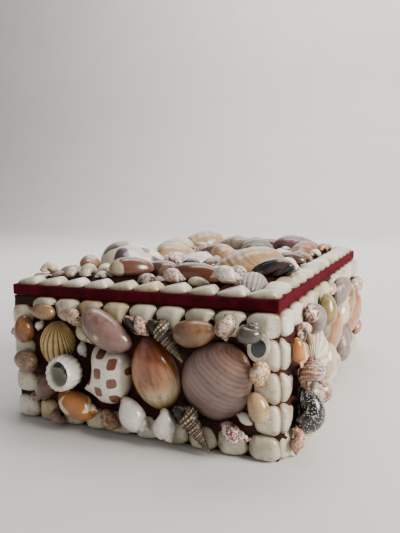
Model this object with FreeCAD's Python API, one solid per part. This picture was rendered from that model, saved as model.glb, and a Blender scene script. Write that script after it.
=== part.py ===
"""A trinket box covered with sea shells: a low wooden box with a hinged lid, four shelled walls and a
shelled lid top. Millimetres; origin at the middle of the underside, +X right along the front,
+Y from the front to the back, +Z up."""
import FreeCAD, Part
import math
import os
import random

Vector = FreeCAD.Vector

# Overall sizes of the wooden box, without its shells
BOX_WIDTH = 130.0
BOX_DEPTH = 182.0
BOX_HEIGHT = 65.0

# Carcass
WALL = 3.0
BASE = 3.0
COVERING = 0.3
LID_BOARD = 4.4
LID_GAP = 0.6
BAND_THICKNESS = 0.8
BAND_HEIGHT = 4.9
BAND_CORNER = 0.72

# Linings
LINING = 1.0
FLOOR_PAD = 1.5
LID_PAD = 1.2
LINING_DROP = 1.5
PAD_CLEARANCE = 1.5

# Hinges
HINGE_LENGTH = 16.0
HINGE_INSET = 40.0
KNUCKLE_RADIUS = 1.5
KNUCKLE_LENGTH = 5.2
KNUCKLE_GAP = 0.2
PIN_RADIUS = 0.6
PIN_CLEARANCE = 0.05
LEAF = 0.6
LEAF_CLEARANCE = 0.1
SCREW_RADIUS = 0.55
SCREW_HEAD_RADIUS = 1.0
SCREW_HEAD = 0.2
BOX_SCREW_LENGTH = 5.0
LID_SCREW_LENGTH = 3.0
SCREW_SHARE = 0.42
BOX_SCREW_OFFSET = 5.0
LID_SCREW_OFFSET = 2.2

# Shells
GRID = 0.75
GLUE_GAP = 0.3
FLOOR_CLEARANCE = 0.5
EDGE_MARGIN = 0.4
SINK = 0.4
LEAN = 0.35
CLAM_LENGTH = 12.8
CLAM_WIDTH = 9.4
CLAM_THIN = 2.6
CLAM_THICK = 4.0
CLAM_CORNER = 2.6
CLAM_ROUND = 1.7
CLAM_SPACE = 0.8
SMALLEST_GAP = 2.6
GAP_STRETCH = 2.6
HIGHEST_REST = 3.4
SHORTEST_SHELL = 5.0
NUDGES = 5
NUDGE_COST = 0.45
SHRINK_COST = 16.0
SIZES_TRIED = (1.0, 0.94, 0.88, 0.82)
TURNS_TRIED = 12
MOST_SHELLS = 400
SMALLER = 0.88
OVERHANG = 1.2

# Width of a shell's tip as a share of its blunt end
EGG_TIP = 0.72
SNAIL_TIP = 0.3
HORN_TIP = 0.16
CONE_TIP = 0.35
BALL_TIP = 0.85
BALL_LENGTH = 1.08

# Heights worked out from the sizes above
LID_TOP = BOX_HEIGHT - COVERING
LID_UNDER = LID_TOP - LID_BOARD
WALL_TOP = LID_UNDER - LID_GAP
JOINT_HEIGHT = WALL_TOP + LID_GAP / 2
PIN_X = -BOX_WIDTH / 2 - BAND_THICKNESS - KNUCKLE_GAP - KNUCKLE_RADIUS
KNUCKLE_LOW = JOINT_HEIGHT - KNUCKLE_RADIUS

parts = {}


def block(low, high):
    """Box between two opposite corners."""
    size = Vector(*high) - Vector(*low)
    return Part.makeBox(size.x, size.y, size.z, Vector(*low))


def rod(radius, start, direction, length):
    """Round bar from a point along a direction."""
    return Part.makeCylinder(radius, length, start, direction)


def add(name, *solids):
    """Put solids into the sub-part of this name."""
    parts.setdefault(name, []).extend(solids)


# ---------------------------------------------------------------- forms of shell

class Spindle:
    """Closed round shell lying on its side: two balls of different size and the cone round both.
    The blunt end is at -x and the tip at +x. A flat is taken off below for the glue."""

    def __init__(self, length, width, tip):
        self.blunt = width / 2
        self.tip = self.blunt * tip
        self.start = self.blunt - length / 2
        self.end = length / 2 - self.tip
        slope = (self.blunt - self.tip) / (self.end - self.start)
        self.sine = min(slope, 0.999)
        self.cosine = math.sqrt(1 - self.sine ** 2)
        self.axis = self.blunt * SINK

    def profile(self, x):
        """Radius of the shell at a place along its axis."""
        first = self.start + self.blunt * self.sine
        last = self.end + self.tip * self.sine
        if x < first:
            return math.sqrt(max(self.blunt ** 2 - (x - self.start) ** 2, 0.0))
        if x > last:
            return math.sqrt(max(self.tip ** 2 - (x - self.end) ** 2, 0.0))
        share = (x - first) / (last - first)
        return self.cosine * (self.blunt + share * (self.tip - self.blunt))

    def span(self, x, y):
        """Lowest and highest point over a place in the plan, or None outside it."""
        radius = self.profile(x)
        if abs(y) >= radius:
            return None
        half = math.sqrt(radius ** 2 - y ** 2)
        return max(self.axis - half, 0.0), self.axis + half

    def reach(self, angle):
        """How far the plan reaches from its middle, in a direction."""
        run = math.cos(angle)
        return max(self.start * run + self.blunt, self.end * run + self.tip)

    def solid(self):
        """Profile turned round the axis, with the flat cut off below."""
        sine, cosine = self.sine, self.cosine
        half = math.atan2(cosine, sine)
        blunt_mid = Vector(self.start + self.blunt * math.cos((math.pi + half) / 2),
                           self.blunt * math.sin((math.pi + half) / 2), 0)
        tip_mid = Vector(self.end + self.tip * math.cos(half / 2), self.tip * math.sin(half / 2), 0)
        blunt_end = Vector(self.start - self.blunt, 0, 0)
        tip_end = Vector(self.end + self.tip, 0, 0)
        blunt_edge = Vector(self.start + self.blunt * sine, self.blunt * cosine, 0)
        tip_edge = Vector(self.end + self.tip * sine, self.tip * cosine, 0)
        outline = Part.Wire([Part.Arc(blunt_end, blunt_mid, blunt_edge).toShape(),
                             Part.LineSegment(blunt_edge, tip_edge).toShape(),
                             Part.Arc(tip_edge, tip_mid, tip_end).toShape(),
                             Part.LineSegment(tip_end, blunt_end).toShape()])
        turned = Part.Face(outline).revolve(Vector(0, 0, 0), Vector(1, 0, 0), 360)
        turned.translate(Vector(0, 0, self.axis))
        size = 4 * (abs(self.start) + self.blunt)
        above = Part.makeBox(size, size, size, Vector(-size / 2, -size / 2, 0))
        return turned.common(above).Solids[0]


class Valve:
    """One half of a two-part shell, hollow side down: half an ellipsoid whose top leans towards the
    beak, which is at +x."""

    def __init__(self, length, width, height):
        self.half_length = length / 2
        self.half_width = width / 2
        self.height = height

    def span(self, x, y):
        """Lowest and highest point over a place in the plan, or None outside it."""
        along = x / self.half_length
        left = 1 - along ** 2 - (y / self.half_width) ** 2
        bend = 1 + LEAN ** 2
        inside = (along * LEAN) ** 2 + bend * left
        if inside <= 0 or (left <= 0 and along * LEAN <= 0):
            return None
        root = math.sqrt(inside)
        low = 0.0 if left > 0 else (along * LEAN - root) / bend
        return low * self.height, (along * LEAN + root) / bend * self.height

    def reach(self, angle):
        """How far the plan reaches from its middle, in a direction."""
        stretch = math.sqrt(1 + LEAN ** 2)
        return stretch * math.hypot(self.half_length * math.cos(angle), self.half_width * math.sin(angle))

    def solid(self):
        """Half ball, stretched and leaned."""
        ball = Part.makeSphere(1.0, Vector(0, 0, 0), Vector(0, 0, 1), 0, 90, 360)
        stretch = FreeCAD.Matrix(self.half_length, 0, LEAN * self.half_length, 0,
                                 0, self.half_width, 0, 0,
                                 0, 0, self.height, 0,
                                 0, 0, 0, 1)
        return ball.transformGeometry(stretch).Solids[0]


class WedgeClam:
    """Small clam of the borders: a rounded trapezium, thin at -x and thick at +x, with its straight
    edge at +y."""

    def __init__(self, length, width):
        self.length = length
        self.width = width
        self.rise = (CLAM_THICK - CLAM_THIN) / length
        x, y = length / 2 - CLAM_CORNER, width / 2 - CLAM_CORNER
        self.corners = [(-x, y), (-x + 0.2 * x, -y), (x - 0.1 * x, -y), (x, y)]

    def depth(self, x, y):
        """How far a place is inside the outline; negative outside."""
        inner = 1e9
        outer = 1e9
        for (ax, ay), (bx, by) in zip(self.corners, self.corners[1:] + self.corners[:1]):
            run = math.hypot(bx - ax, by - ay)
            across = ((bx - ax) * (y - ay) - (by - ay) * (x - ax)) / run
            along = ((x - ax) * (bx - ax) + (y - ay) * (by - ay)) / run
            inner = min(inner, across)
            outer = min(outer, math.hypot(across, along - min(max(along, 0.0), run)))
        return CLAM_CORNER + (inner if inner >= 0 else -outer)

    def span(self, x, y):
        """Lowest and highest point over a place in the plan, or None outside it."""
        depth = self.depth(x, y)
        if depth <= 0:
            return None
        top = CLAM_THIN + self.rise * (x + self.length / 2)
        edge = max(CLAM_ROUND - depth, 0.0)
        return 0.0, top - CLAM_ROUND + math.sqrt(CLAM_ROUND ** 2 - edge ** 2)

    def reach(self, angle):
        """How far the plan reaches from its middle, in a direction."""
        return max(x * math.cos(angle) + y * math.sin(angle) for x, y in self.corners) + CLAM_CORNER

    def solid(self):
        """Outline raised to a sloping top, with its upper edges rounded."""
        core = Part.makePolygon([Vector(x, y, 0) for x, y in self.corners + self.corners[:1]])
        outline = core.makeOffset2D(CLAM_CORNER)
        prism = Part.Face(outline).extrude(Vector(0, 0, 2 * CLAM_THICK))
        size = 4 * self.length
        lid = Part.makeBox(size, size, size, Vector(-size / 2, -size / 2, 0))
        lid.rotate(Vector(0, 0, 0), Vector(0, 1, 0), -math.degrees(math.atan(self.rise)))
        lid.translate(Vector(0, 0, (CLAM_THIN + CLAM_THICK) / 2))
        cut = prism.cut(lid)
        upper = [edge for edge in cut.Edges if edge.BoundBox.ZMin > CLAM_THIN / 2]
        return cut.makeFillet(CLAM_ROUND, upper).Solids[0]


def egg(length, width, _height):
    """Cowrie or egg-shaped shell."""
    return Spindle(length, width, EGG_TIP)


def snail(length, width, _height):
    """Short pointed snail."""
    return Spindle(length, width, SNAIL_TIP)


def horn(length, width, _height):
    """Long narrow spire."""
    return Spindle(length, width, HORN_TIP)


def cone(length, width, _height):
    """Wide-shouldered cone shell."""
    return Spindle(length, width, CONE_TIP)


def ball(length, width, _height):
    """Nearly round snail."""
    return Spindle(max(length, width * BALL_LENGTH), width, BALL_TIP)


def valve(length, width, height):
    """Clam, cockle or scallop."""
    return Valve(length, width, height)


# ---------------------------------------------------------------- a face and the heap on it

class Face:
    """Flat side that gets shells. Its plan runs 'across' and 'up' from its lower left corner, seen
    from outside, and it keeps the height of the heap over a fine grid."""

    def __init__(self, width, height, corner, across, up):
        self.width = width
        self.height = height
        self.corner = corner
        self.across = across
        self.up = up
        self.out = across.cross(up)
        self.columns = int(width / GRID) + 1
        self.rows = int(height / GRID) + 1
        self.heap = [[0.0] * self.columns for _ in range(self.rows)]
        self.bare = [[True] * self.columns for _ in range(self.rows)]

    def cells(self, form, x, y, turn):
        """Grid cells under a shell, with the shell's span over each."""
        cosine, sine = math.cos(turn), math.sin(turn)
        left, right, bottom, top = self.extent(form, turn)
        found = []
        for row in range(int((y - bottom) / GRID), int((y + top) / GRID) + 2):
            for column in range(int((x - left) / GRID), int((x + right) / GRID) + 2):
                dx, dy = column * GRID - x, row * GRID - y
                span = form.span(dx * cosine + dy * sine, dy * cosine - dx * sine)
                if span:
                    found.append((row, column, span[0], span[1]))
        return found

    def extent(self, form, turn):
        """How far a turned shell reaches to the left, right, down and up."""
        return (form.reach(math.pi - turn), form.reach(-turn),
                form.reach(-math.pi / 2 - turn), form.reach(math.pi / 2 - turn))

    def inside(self, form, x, y, turn):
        """The nearest place to x, y, on the grid, where the whole shell stays on the face."""
        left, right, bottom, top = self.extent(form, turn)
        x = min(max(x, left + EDGE_MARGIN), self.width - right - EDGE_MARGIN)
        y = min(max(y, bottom + EDGE_MARGIN), self.height - top - EDGE_MARGIN)
        return x, y

    def fits(self, form, x, y, turn):
        """Whether the whole shell stays on the face."""
        return math.dist(self.inside(form, x, y, turn), (x, y)) < 1e-6

    def lift(self, cells, down=0, along=0):
        """How far off the face a shell rests, over the shells below its own underside, if its cells
        are moved some rows down the list and columns along."""
        rest = 0.0
        for row, column, low, _ in cells:
            row, column = row + down, column + along
            if 0 <= row < self.rows and 0 <= column < self.columns:
                height = self.heap[row][column]
                if height > 0 and height - low + GLUE_GAP > rest:
                    rest = height - low + GLUE_GAP
        return rest

    def settle(self, make, sizes, x, y, turn):
        """Push a shell a little aside, or choose a smaller one, so that it rests lower."""
        best = None
        for scale in SIZES_TRIED:
            form = make(*(size * scale for size in sizes))
            start = self.inside(form, x, y, turn)
            cells = self.cells(form, start[0], start[1], turn)
            for down in range(-NUDGES, NUDGES + 1):
                for along in range(-NUDGES, NUDGES + 1):
                    place = (start[0] + along * GRID, start[1] + down * GRID)
                    if not self.fits(form, place[0], place[1], turn):
                        continue
                    cost = self.lift(cells, down, along) + NUDGE_COST * math.hypot(down, along) * GRID
                    cost += SHRINK_COST * (1 - scale)
                    if best is None or cost < best[0]:
                        best = (cost, form, place)
        return best[1], best[2]

    def lay(self, name, form, x, y, degrees, on_heap=True):
        """Set a shell down on the face, or on the shells already there."""
        turn = math.radians(degrees)
        x, y = self.inside(form, x, y, turn)
        cells = self.cells(form, x, y, turn)
        lift = self.lift(cells) if on_heap else 0.0
        for row, column, _, high in cells:
            if 0 <= row < self.rows and 0 <= column < self.columns:
                self.bare[row][column] = False
                self.raise_heap(row, column, lift + high)
        solid = form.solid()
        solid.Placement = self.placement(x, y, lift, turn)
        add(name, solid)

    def leave_bare(self, x, y, radius):
        """Give up a gap that no shell fits."""
        for row in range(self.rows):
            for column in range(self.columns):
                if math.hypot(column * GRID - x, row * GRID - y) < radius:
                    self.bare[row][column] = False

    def best_turn(self, form, x, y, chance):
        """The turn, of a few tried, at which a shell rests lowest, and how high that is."""
        start = chance.uniform(0, 360)
        tries = []
        for degrees in (start + 360 / TURNS_TRIED * step for step in range(TURNS_TRIED)):
            turn = math.radians(degrees)
            place = self.inside(form, x, y, turn)
            tries.append((self.lift(self.cells(form, place[0], place[1], turn)), degrees))
        return min(tries)

    def raise_heap(self, row, column, height):
        """Record a height over one cell and its neighbours."""
        for r in range(max(row - 1, 0), min(row + 2, self.rows)):
            line = self.heap[r]
            for c in range(max(column - 1, 0), min(column + 2, self.columns)):
                if line[c] < height:
                    line[c] = height

    def placement(self, x, y, lift, turn):
        """Where a shell's own axes go in the box's frame."""
        run = self.across * math.cos(turn) + self.up * math.sin(turn)
        side = self.out.cross(run)
        place = self.corner + self.across * x + self.up * y + self.out * lift
        return FreeCAD.Placement(FreeCAD.Matrix(run.x, side.x, self.out.x, place.x,
                                                run.y, side.y, self.out.y, place.y,
                                                run.z, side.z, self.out.z, place.z,
                                                0, 0, 0, 1))

    def widest_gap(self):
        """Middle and radius of the largest bare circle, from a distance map swept both ways."""
        far = [[9999.0 if bare else 0.0 for bare in line] for line in self.bare]
        diagonal = math.sqrt(2)
        for row in range(self.rows):
            for column in range(self.columns):
                steps = [far[row][column]]
                steps.append(far[row][column - 1] + 1 if column else 1)
                steps.append(far[row - 1][column] + 1 if row else 1)
                steps.append(far[row - 1][column - 1] + diagonal if row and column else 1)
                far[row][column] = min(steps)
        best = (0.0, 0, 0)
        for row in range(self.rows - 1, -1, -1):
            below = far[row + 1] if row + 1 < self.rows else [0.0] * (self.columns + 1)
            for column in range(self.columns - 1, -1, -1):
                right = far[row][column + 1] if column + 1 < self.columns else 0.0
                corner = below[column + 1] if column + 1 < self.columns else 0.0
                value = min(far[row][column], right + 1, below[column] + 1, corner + diagonal)
                far[row][column] = value
                best = max(best, (value, row, column))
        value, row, column = best
        return column * GRID, row * GRID, value * GRID


def border_row(face, name, ends, level, turn, skip=()):
    """Row of border clams between two ends, straight side by side. A level is the row's middle line;
    turn 0 runs across with the straight edges up, 90 runs up."""
    start, end = ends
    count = max(int((end - start) / (CLAM_LENGTH + CLAM_SPACE) + 0.5), 1)
    pitch = (end - start) / count
    for index in range(count):
        if index in skip:
            continue
        middle = start + pitch * (index + 0.5)
        place = (middle, level) if turn % 180 == 0 else (level, middle)
        form = WedgeClam(pitch - CLAM_SPACE, CLAM_WIDTH)
        face.lay(name, form, place[0], place[1], turn, on_heap=False)


def frame_with_clams(face, name, skip=()):
    """Border clams along all four edges of a face."""
    inset = CLAM_WIDTH / 2 + EDGE_MARGIN
    side = CLAM_WIDTH + CLAM_SPACE
    border_row(face, name, (0, face.width), face.height - inset, 0, skip)
    border_row(face, name, (0, face.width), inset, 180)
    border_row(face, name, (side, face.height - side), inset, 90)
    border_row(face, name, (side, face.height - side), face.width - inset, -90)


def lay_list(face, shells):
    """Lay shells at their shares of the face's width and height."""
    for name, make, across, up, length, width, height, degrees in shells:
        form, place = face.settle(make, (length, width, height), across * face.width, up * face.height,
                                  math.radians(degrees))
        face.lay(name, form, place[0], place[1], degrees)


def fill_gaps(face, kinds, chance):
    """Lay a shell in the widest gap, as large as the gap and its kind allow, until none is left.
    Each kind: sub-part, form, width and height as shares of the length, shortest and longest length."""
    longest = max(kind[5] for kind in kinds)
    for count in range(MOST_SHELLS):
        x, y, radius = face.widest_gap()
        if radius < SMALLEST_GAP:
            return
        length = min(GAP_STRETCH * radius * chance.uniform(0.95, 1.15), longest)
        lift = HIGHEST_REST + 1
        while lift > HIGHEST_REST and length > SHORTEST_SHELL:
            fitting = [kind for kind in kinds if kind[4] <= length <= kind[5]]
            name, make, width, height, _, _ = fitting[count % len(fitting)]
            form = make(length, width * length, height * length)
            lift, degrees = face.best_turn(form, x, y, chance)
            length *= SMALLER
        if lift > HIGHEST_REST:
            face.leave_bare(x, y, radius)
        else:
            face.lay(name, form, x, y, degrees)


# ---------------------------------------------------------------- the wooden box

def carcass():
    """Base, four walls, their paper covering and the linings inside."""
    x, y = BOX_WIDTH / 2, BOX_DEPTH / 2
    inner_x, inner_y = x - WALL, y - WALL
    add("base_board", block((-x, -y, 0), (x, y, BASE)))
    add("front_wall", block((-x, -y, BASE), (x, -inner_y, WALL_TOP)))
    add("back_wall", block((-x, inner_y, BASE), (x, y, WALL_TOP)))
    add("right_wall", block((inner_x, -inner_y, BASE), (x, inner_y, WALL_TOP)))
    left = block((-x, -inner_y, BASE), (-inner_x, inner_y, WALL_TOP))
    for middle in hinge_places():
        half = HINGE_LENGTH / 2 + LEAF_CLEARANCE
        left = left.cut(block((-x, middle - half, WALL_TOP - LEAF), (-inner_x, middle + half, WALL_TOP)))
        for place in screw_places(middle, BOX_SCREW_OFFSET):
            top = Vector(place.x, place.y, WALL_TOP)
            left = left.cut(rod(SCREW_RADIUS, top, Vector(0, 0, -1), BOX_SCREW_LENGTH))
    add("left_wall", left)
    skin_top = WALL_TOP - LEAF - LEAF_CLEARANCE
    outer = block((-x - COVERING, -y - COVERING, EDGE_MARGIN), (x + COVERING, y + COVERING, skin_top))
    add("wall_covering", outer.cut(block((-x, -y, 0), (x, y, BOX_HEIGHT))))
    add("floor_lining", block((-inner_x, -inner_y, BASE), (inner_x, inner_y, BASE + FLOOR_PAD)))
    low, high = BASE + FLOOR_PAD, WALL_TOP - LINING_DROP
    for side in (-1, 1):
        ends = sorted((side * inner_y, side * (inner_y - LINING)))
        add("side_lining", block((-inner_x, ends[0], low), (inner_x, ends[1], high)))
        ends = sorted((side * inner_x, side * (inner_x - LINING)))
        add("side_lining", block((ends[0], -inner_y + LINING, low), (ends[1], inner_y - LINING, high)))


def lid():
    """Lid board with its velvet edge band, paper covering and padded lining."""
    x, y = BOX_WIDTH / 2, BOX_DEPTH / 2
    board = block((-x, -y, LID_UNDER), (x, y, LID_TOP))
    band_low = BOX_HEIGHT - BAND_HEIGHT
    outer = block((-x - BAND_THICKNESS, -y - BAND_THICKNESS, band_low),
                  (x + BAND_THICKNESS, y + BAND_THICKNESS, BOX_HEIGHT))
    upright = [edge for edge in outer.Edges if edge.BoundBox.ZLength > BAND_HEIGHT / 2]
    band = outer.makeFillet(BAND_CORNER, upright)
    band = band.cut(block((-x, -y, band_low), (x, y, BOX_HEIGHT)))
    for middle in hinge_places():
        half = HINGE_LENGTH / 2 + LEAF_CLEARANCE
        board = board.cut(block((-x, middle - half, LID_UNDER), (-x + WALL, middle + half, LID_UNDER + LEAF)))
        band = band.cut(block((-x - 2 * BAND_THICKNESS, middle - half, band_low),
                              (-x, middle + half, LID_UNDER + LEAF + LEAF_CLEARANCE)))
        for place in screw_places(middle, LID_SCREW_OFFSET):
            start = Vector(place.x, place.y, LID_UNDER)
            board = board.cut(rod(SCREW_RADIUS, start, Vector(0, 0, 1), LID_SCREW_LENGTH))
    add("lid_board", board)
    add("lid_edge_band", band)
    add("lid_covering", block((-x, -y, LID_TOP), (x, y, BOX_HEIGHT)))
    inset = WALL + LINING + PAD_CLEARANCE
    add("lid_lining", block((-x + inset, -y + inset, LID_UNDER - LID_PAD), (x - inset, y - inset, LID_UNDER)))


# ---------------------------------------------------------------- hinges along the left edge

def hinge_places():
    """Middles of the two hinges along Y."""
    return (-BOX_DEPTH / 2 + HINGE_INSET, BOX_DEPTH / 2 - HINGE_INSET)


def screw_places(middle, offset):
    """Middles of one leaf's two screws."""
    x = -BOX_WIDTH / 2 + WALL * SCREW_SHARE
    return (Vector(x, middle - offset, 0), Vector(x, middle + offset, 0))


def knuckles(middle, end_ones):
    """Stretches of the pin's axis that one leaf's knuckles take."""
    half = HINGE_LENGTH / 2
    if end_ones:
        return [(middle - half, middle - half + KNUCKLE_LENGTH - KNUCKLE_GAP),
                (middle + half - KNUCKLE_LENGTH + KNUCKLE_GAP, middle + half)]
    return [(middle - half + KNUCKLE_LENGTH, middle + half - KNUCKLE_LENGTH)]


def leaf(middle, low, end_ones, screw_offset):
    """Flat leaf let into the wood, with its rolled knuckles round the pin."""
    half = HINGE_LENGTH / 2
    plate_start = PIN_X + KNUCKLE_RADIUS + KNUCKLE_GAP
    shape = block((plate_start, middle - half, low), (-BOX_WIDTH / 2 + WALL, middle + half, low + LEAF))
    for start, end in knuckles(middle, end_ones):
        shape = shape.fuse(block((PIN_X, start, low), (plate_start, end, low + LEAF)))
        centre = Vector(PIN_X, start, JOINT_HEIGHT)
        shape = shape.fuse(rod(KNUCKLE_RADIUS, centre, Vector(0, 1, 0), end - start))
    bore_start = Vector(PIN_X, middle - HINGE_LENGTH, JOINT_HEIGHT)
    shape = shape.cut(rod(PIN_RADIUS + PIN_CLEARANCE, bore_start, Vector(0, 1, 0), 2 * HINGE_LENGTH))
    for place in screw_places(middle, screw_offset):
        start = Vector(place.x, place.y, low - LEAF)
        shape = shape.cut(rod(SCREW_RADIUS, start, Vector(0, 0, 1), 3 * LEAF))
    return shape.removeSplitter().Solids[0]


def screw(place, level, direction, length):
    """Small screw: a shank into the wood and a flat head on the leaf."""
    start = Vector(place.x, place.y, level)
    shank = rod(SCREW_RADIUS, start, direction, length)
    head = rod(SCREW_HEAD_RADIUS, start, direction * -1, SCREW_HEAD)
    return shank.fuse(head).removeSplitter().Solids[0]


def hinges():
    """Two butt hinges: a leaf on the wall, a leaf under the lid, a pin and four screws each."""
    for middle in hinge_places():
        add("box_hinge_leaves", leaf(middle, WALL_TOP - LEAF, True, BOX_SCREW_OFFSET))
        add("lid_hinge_leaves", leaf(middle, LID_UNDER, False, LID_SCREW_OFFSET))
        start = Vector(PIN_X, middle - HINGE_LENGTH / 2, JOINT_HEIGHT)
        add("hinge_pins", rod(PIN_RADIUS, start, Vector(0, 1, 0), HINGE_LENGTH))
        for place in screw_places(middle, BOX_SCREW_OFFSET):
            add("box_hinge_screws", screw(place, WALL_TOP, Vector(0, 0, -1), BOX_SCREW_LENGTH))
        for place in screw_places(middle, LID_SCREW_OFFSET):
            add("lid_hinge_screws", screw(place, LID_UNDER, Vector(0, 0, 1), LID_SCREW_LENGTH))


# ---------------------------------------------------------------- the shelled faces
# Each shell: sub-part, form, share of the width, share of the height, length, width, height, turn.
# The turn is where the tip or the beak points: 0 is to the right, 90 is up.

def front_face():
    """The short front, laid shell by shell."""
    face = Face(BOX_WIDTH + 2 * OVERHANG, WALL_TOP - FLOOR_CLEARANCE,
                Vector(-BOX_WIDTH / 2 - OVERHANG, -BOX_DEPTH / 2 - COVERING, FLOOR_CLEARANCE),
                Vector(1, 0, 0), Vector(0, 0, 1))
    inset = CLAM_WIDTH / 2 + EDGE_MARGIN
    side = CLAM_WIDTH + CLAM_SPACE
    border_row(face, "front_border_clams", (0, face.width), face.height - inset, 0, skip=(0,))
    border_row(face, "front_border_clams", (0, face.width), inset, 180)
    border_row(face, "front_border_clams", (side, face.height - side), face.width - inset, -90)
    for share in (0.84, 0.585, 0.30):
        face.lay("front_border_clams", WedgeClam(CLAM_LENGTH, CLAM_WIDTH), 0, share * face.height, 180)
    lay_list(face, [
        ("front_ringed_clam", valve, 0.80, 0.50, 33.5, 30, 9, 58),
        ("front_rayed_clam", valve, 0.590, 0.50, 32, 23.5, 10, 96),
        ("front_golden_cockle", valve, 0.205, 0.685, 24, 22, 8.5, 78),
        ("front_spotted_cone", cone, 0.425, 0.45, 28, 21, 0, -82),
        ("front_moon_shell", ball, 0.290, 0.50, 16, 15, 0, 45),
        ("front_orange_whelk", egg, 0.297, 0.205, 21, 12.5, 0, -2),
        ("front_dark_snail", snail, 0.180, 0.345, 18, 13, 0, 80),
        ("front_horn_shells", horn, 0.745, 0.205, 22, 10, 0, -56),
        ("front_horn_shells", horn, 0.648, 0.785, 21, 9.5, 0, -54),
        ("front_pearl_snails", snail, 0.337, 0.735, 16, 8.5, 0, -32),
        ("front_mauve_cowrie", egg, 0.452, 0.80, 28, 17, 0, -31),
        ("front_cowries", egg, 0.742, 0.840, 17.5, 11, 0, 8),
        ("front_turban", ball, 0.938, 0.845, 14.5, 13, 0, 150),
        ("front_small_snails", snail, 0.842, 0.855, 11, 9, 0, -80),
        ("front_small_snails", snail, 0.542, 0.855, 13, 7.5, 0, -42),
        ("front_small_snails", snail, 0.295, 0.885, 13.5, 7.5, 0, 172),
        ("front_cowries", egg, 0.170, 0.905, 13, 7.5, 0, 178),
        ("front_cowries", egg, 0.085, 0.755, 12.5, 10, 0, 85),
        ("front_small_snails", snail, 0.082, 0.495, 12.5, 10, 0, 175),
        ("front_small_snails", snail, 0.938, 0.640, 11, 8.5, 0, 115),
        ("front_cowries", egg, 0.945, 0.395, 11.5, 8.5, 0, 108),
        ("front_small_snails", snail, 0.872, 0.185, 13, 7.5, 0, -12),
        ("front_pearl_snails", snail, 0.525, 0.190, 18, 11.5, 0, -34),
        ("front_pearl_snails", snail, 0.640, 0.155, 14, 10.5, 0, -60),
        ("front_small_snails", snail, 0.430, 0.165, 11, 8, 0, -20),
        ("front_small_snails", snail, 0.212, 0.095, 9, 7, 0, 185),
    ])
    fill_gaps(face, [("front_small_snails", snail, 0.66, 0, 0, 16),
                     ("front_pearl_snails", snail, 0.66, 0, 0, 16)], random.Random(11))


def right_face():
    """The long right side, laid by hand near the front and in the gaps behind."""
    face = Face(BOX_DEPTH, WALL_TOP - FLOOR_CLEARANCE,
                Vector(BOX_WIDTH / 2 + COVERING, -BOX_DEPTH / 2, FLOOR_CLEARANCE),
                Vector(0, 1, 0), Vector(0, 0, 1))
    frame_with_clams(face, "right_border_clams", skip=(6,))
    lay_list(face, [
        ("right_white_cockle", valve, 0.285, 0.51, 27, 25, 9.5, 178),
        ("right_warm_clams", valve, 0.500, 0.50, 29, 24, 9, 100),
        ("right_warm_clams", valve, 0.715, 0.62, 27, 22, 9, 60),
        ("right_grey_clams", valve, 0.245, 0.76, 18, 14, 6.5, 150),
        ("right_scallop", valve, 0.120, 0.605, 21, 19, 7, -125),
        ("right_speckled_nerite", ball, 0.085, 0.33, 19, 16, 0, -60),
        ("right_grey_clams", valve, 0.165, 0.26, 21, 12, 6, 75),
        ("right_top_shell", snail, 0.075, 0.50, 14, 12, 0, 60),
        ("right_cowries", egg, 0.315, 0.835, 15, 11, 0, 70),
        ("right_small_snails", snail, 0.170, 0.855, 12, 9, 0, 20),
        ("right_small_snails", snail, 0.098, 0.865, 10, 7.5, 0, 10),
        ("right_cowries", egg, 0.055, 0.675, 9.5, 6.5, 0, 95),
        ("right_small_snails", snail, 0.185, 0.475, 12, 8, 0, 100),
        ("right_small_snails", snail, 0.048, 0.145, 12, 7.5, 0, -75),
        ("right_small_snails", snail, 0.112, 0.110, 12, 8.5, 0, 35),
        ("right_small_snails", snail, 0.285, 0.190, 14, 10, 0, 80),
        ("right_grey_clams", valve, 0.560, 0.80, 20, 15, 6.5, 20),
    ])
    fill_gaps(face, [("right_warm_clams", valve, 0.84, 0.32, 21, 30),
                     ("right_cowries", egg, 0.66, 0, 15, 22),
                     ("right_grey_clams", valve, 0.78, 0.32, 15, 24),
                     ("right_small_snails", snail, 0.64, 0, 0, 16),
                     ("right_cowries", egg, 0.7, 0, 0, 14)], random.Random(23))


def hidden_faces():
    """The left side, cut lower under the hinge knuckles, and the back."""
    low = FLOOR_CLEARANCE
    left = Face(BOX_DEPTH, KNUCKLE_LOW - GLUE_GAP - low,
                Vector(-BOX_WIDTH / 2 - COVERING, BOX_DEPTH / 2, low), Vector(0, -1, 0), Vector(0, 0, 1))
    back = Face(BOX_WIDTH + 2 * OVERHANG, WALL_TOP - low,
                Vector(BOX_WIDTH / 2 + OVERHANG, BOX_DEPTH / 2 + COVERING, low),
                Vector(-1, 0, 0), Vector(0, 0, 1))
    for name, face, seed in (("left", left, 37), ("back", back, 41)):
        frame_with_clams(face, name + "_border_clams")
        lay_list(face, [(name + "_clams", valve, 0.24, 0.52, 30, 25, 9, 80),
                        (name + "_cockles", valve, 0.52, 0.50, 27, 25, 9, 100),
                        (name + "_cowries", egg, 0.78, 0.62, 24, 15, 0, 25),
                        (name + "_snails", snail, 0.40, 0.80, 15, 9, 0, 160)])
        fill_gaps(face, [(name + "_clams", valve, 0.84, 0.3, 22, 34),
                         (name + "_cockles", valve, 0.94, 0.34, 18, 28),
                         (name + "_cowries", egg, 0.62, 0, 14, 26),
                         (name + "_clams", valve, 0.78, 0.32, 13, 21),
                         (name + "_snails", snail, 0.62, 0, 0, 18),
                         (name + "_cowries", egg, 0.7, 0, 0, 13)], random.Random(seed))


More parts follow.
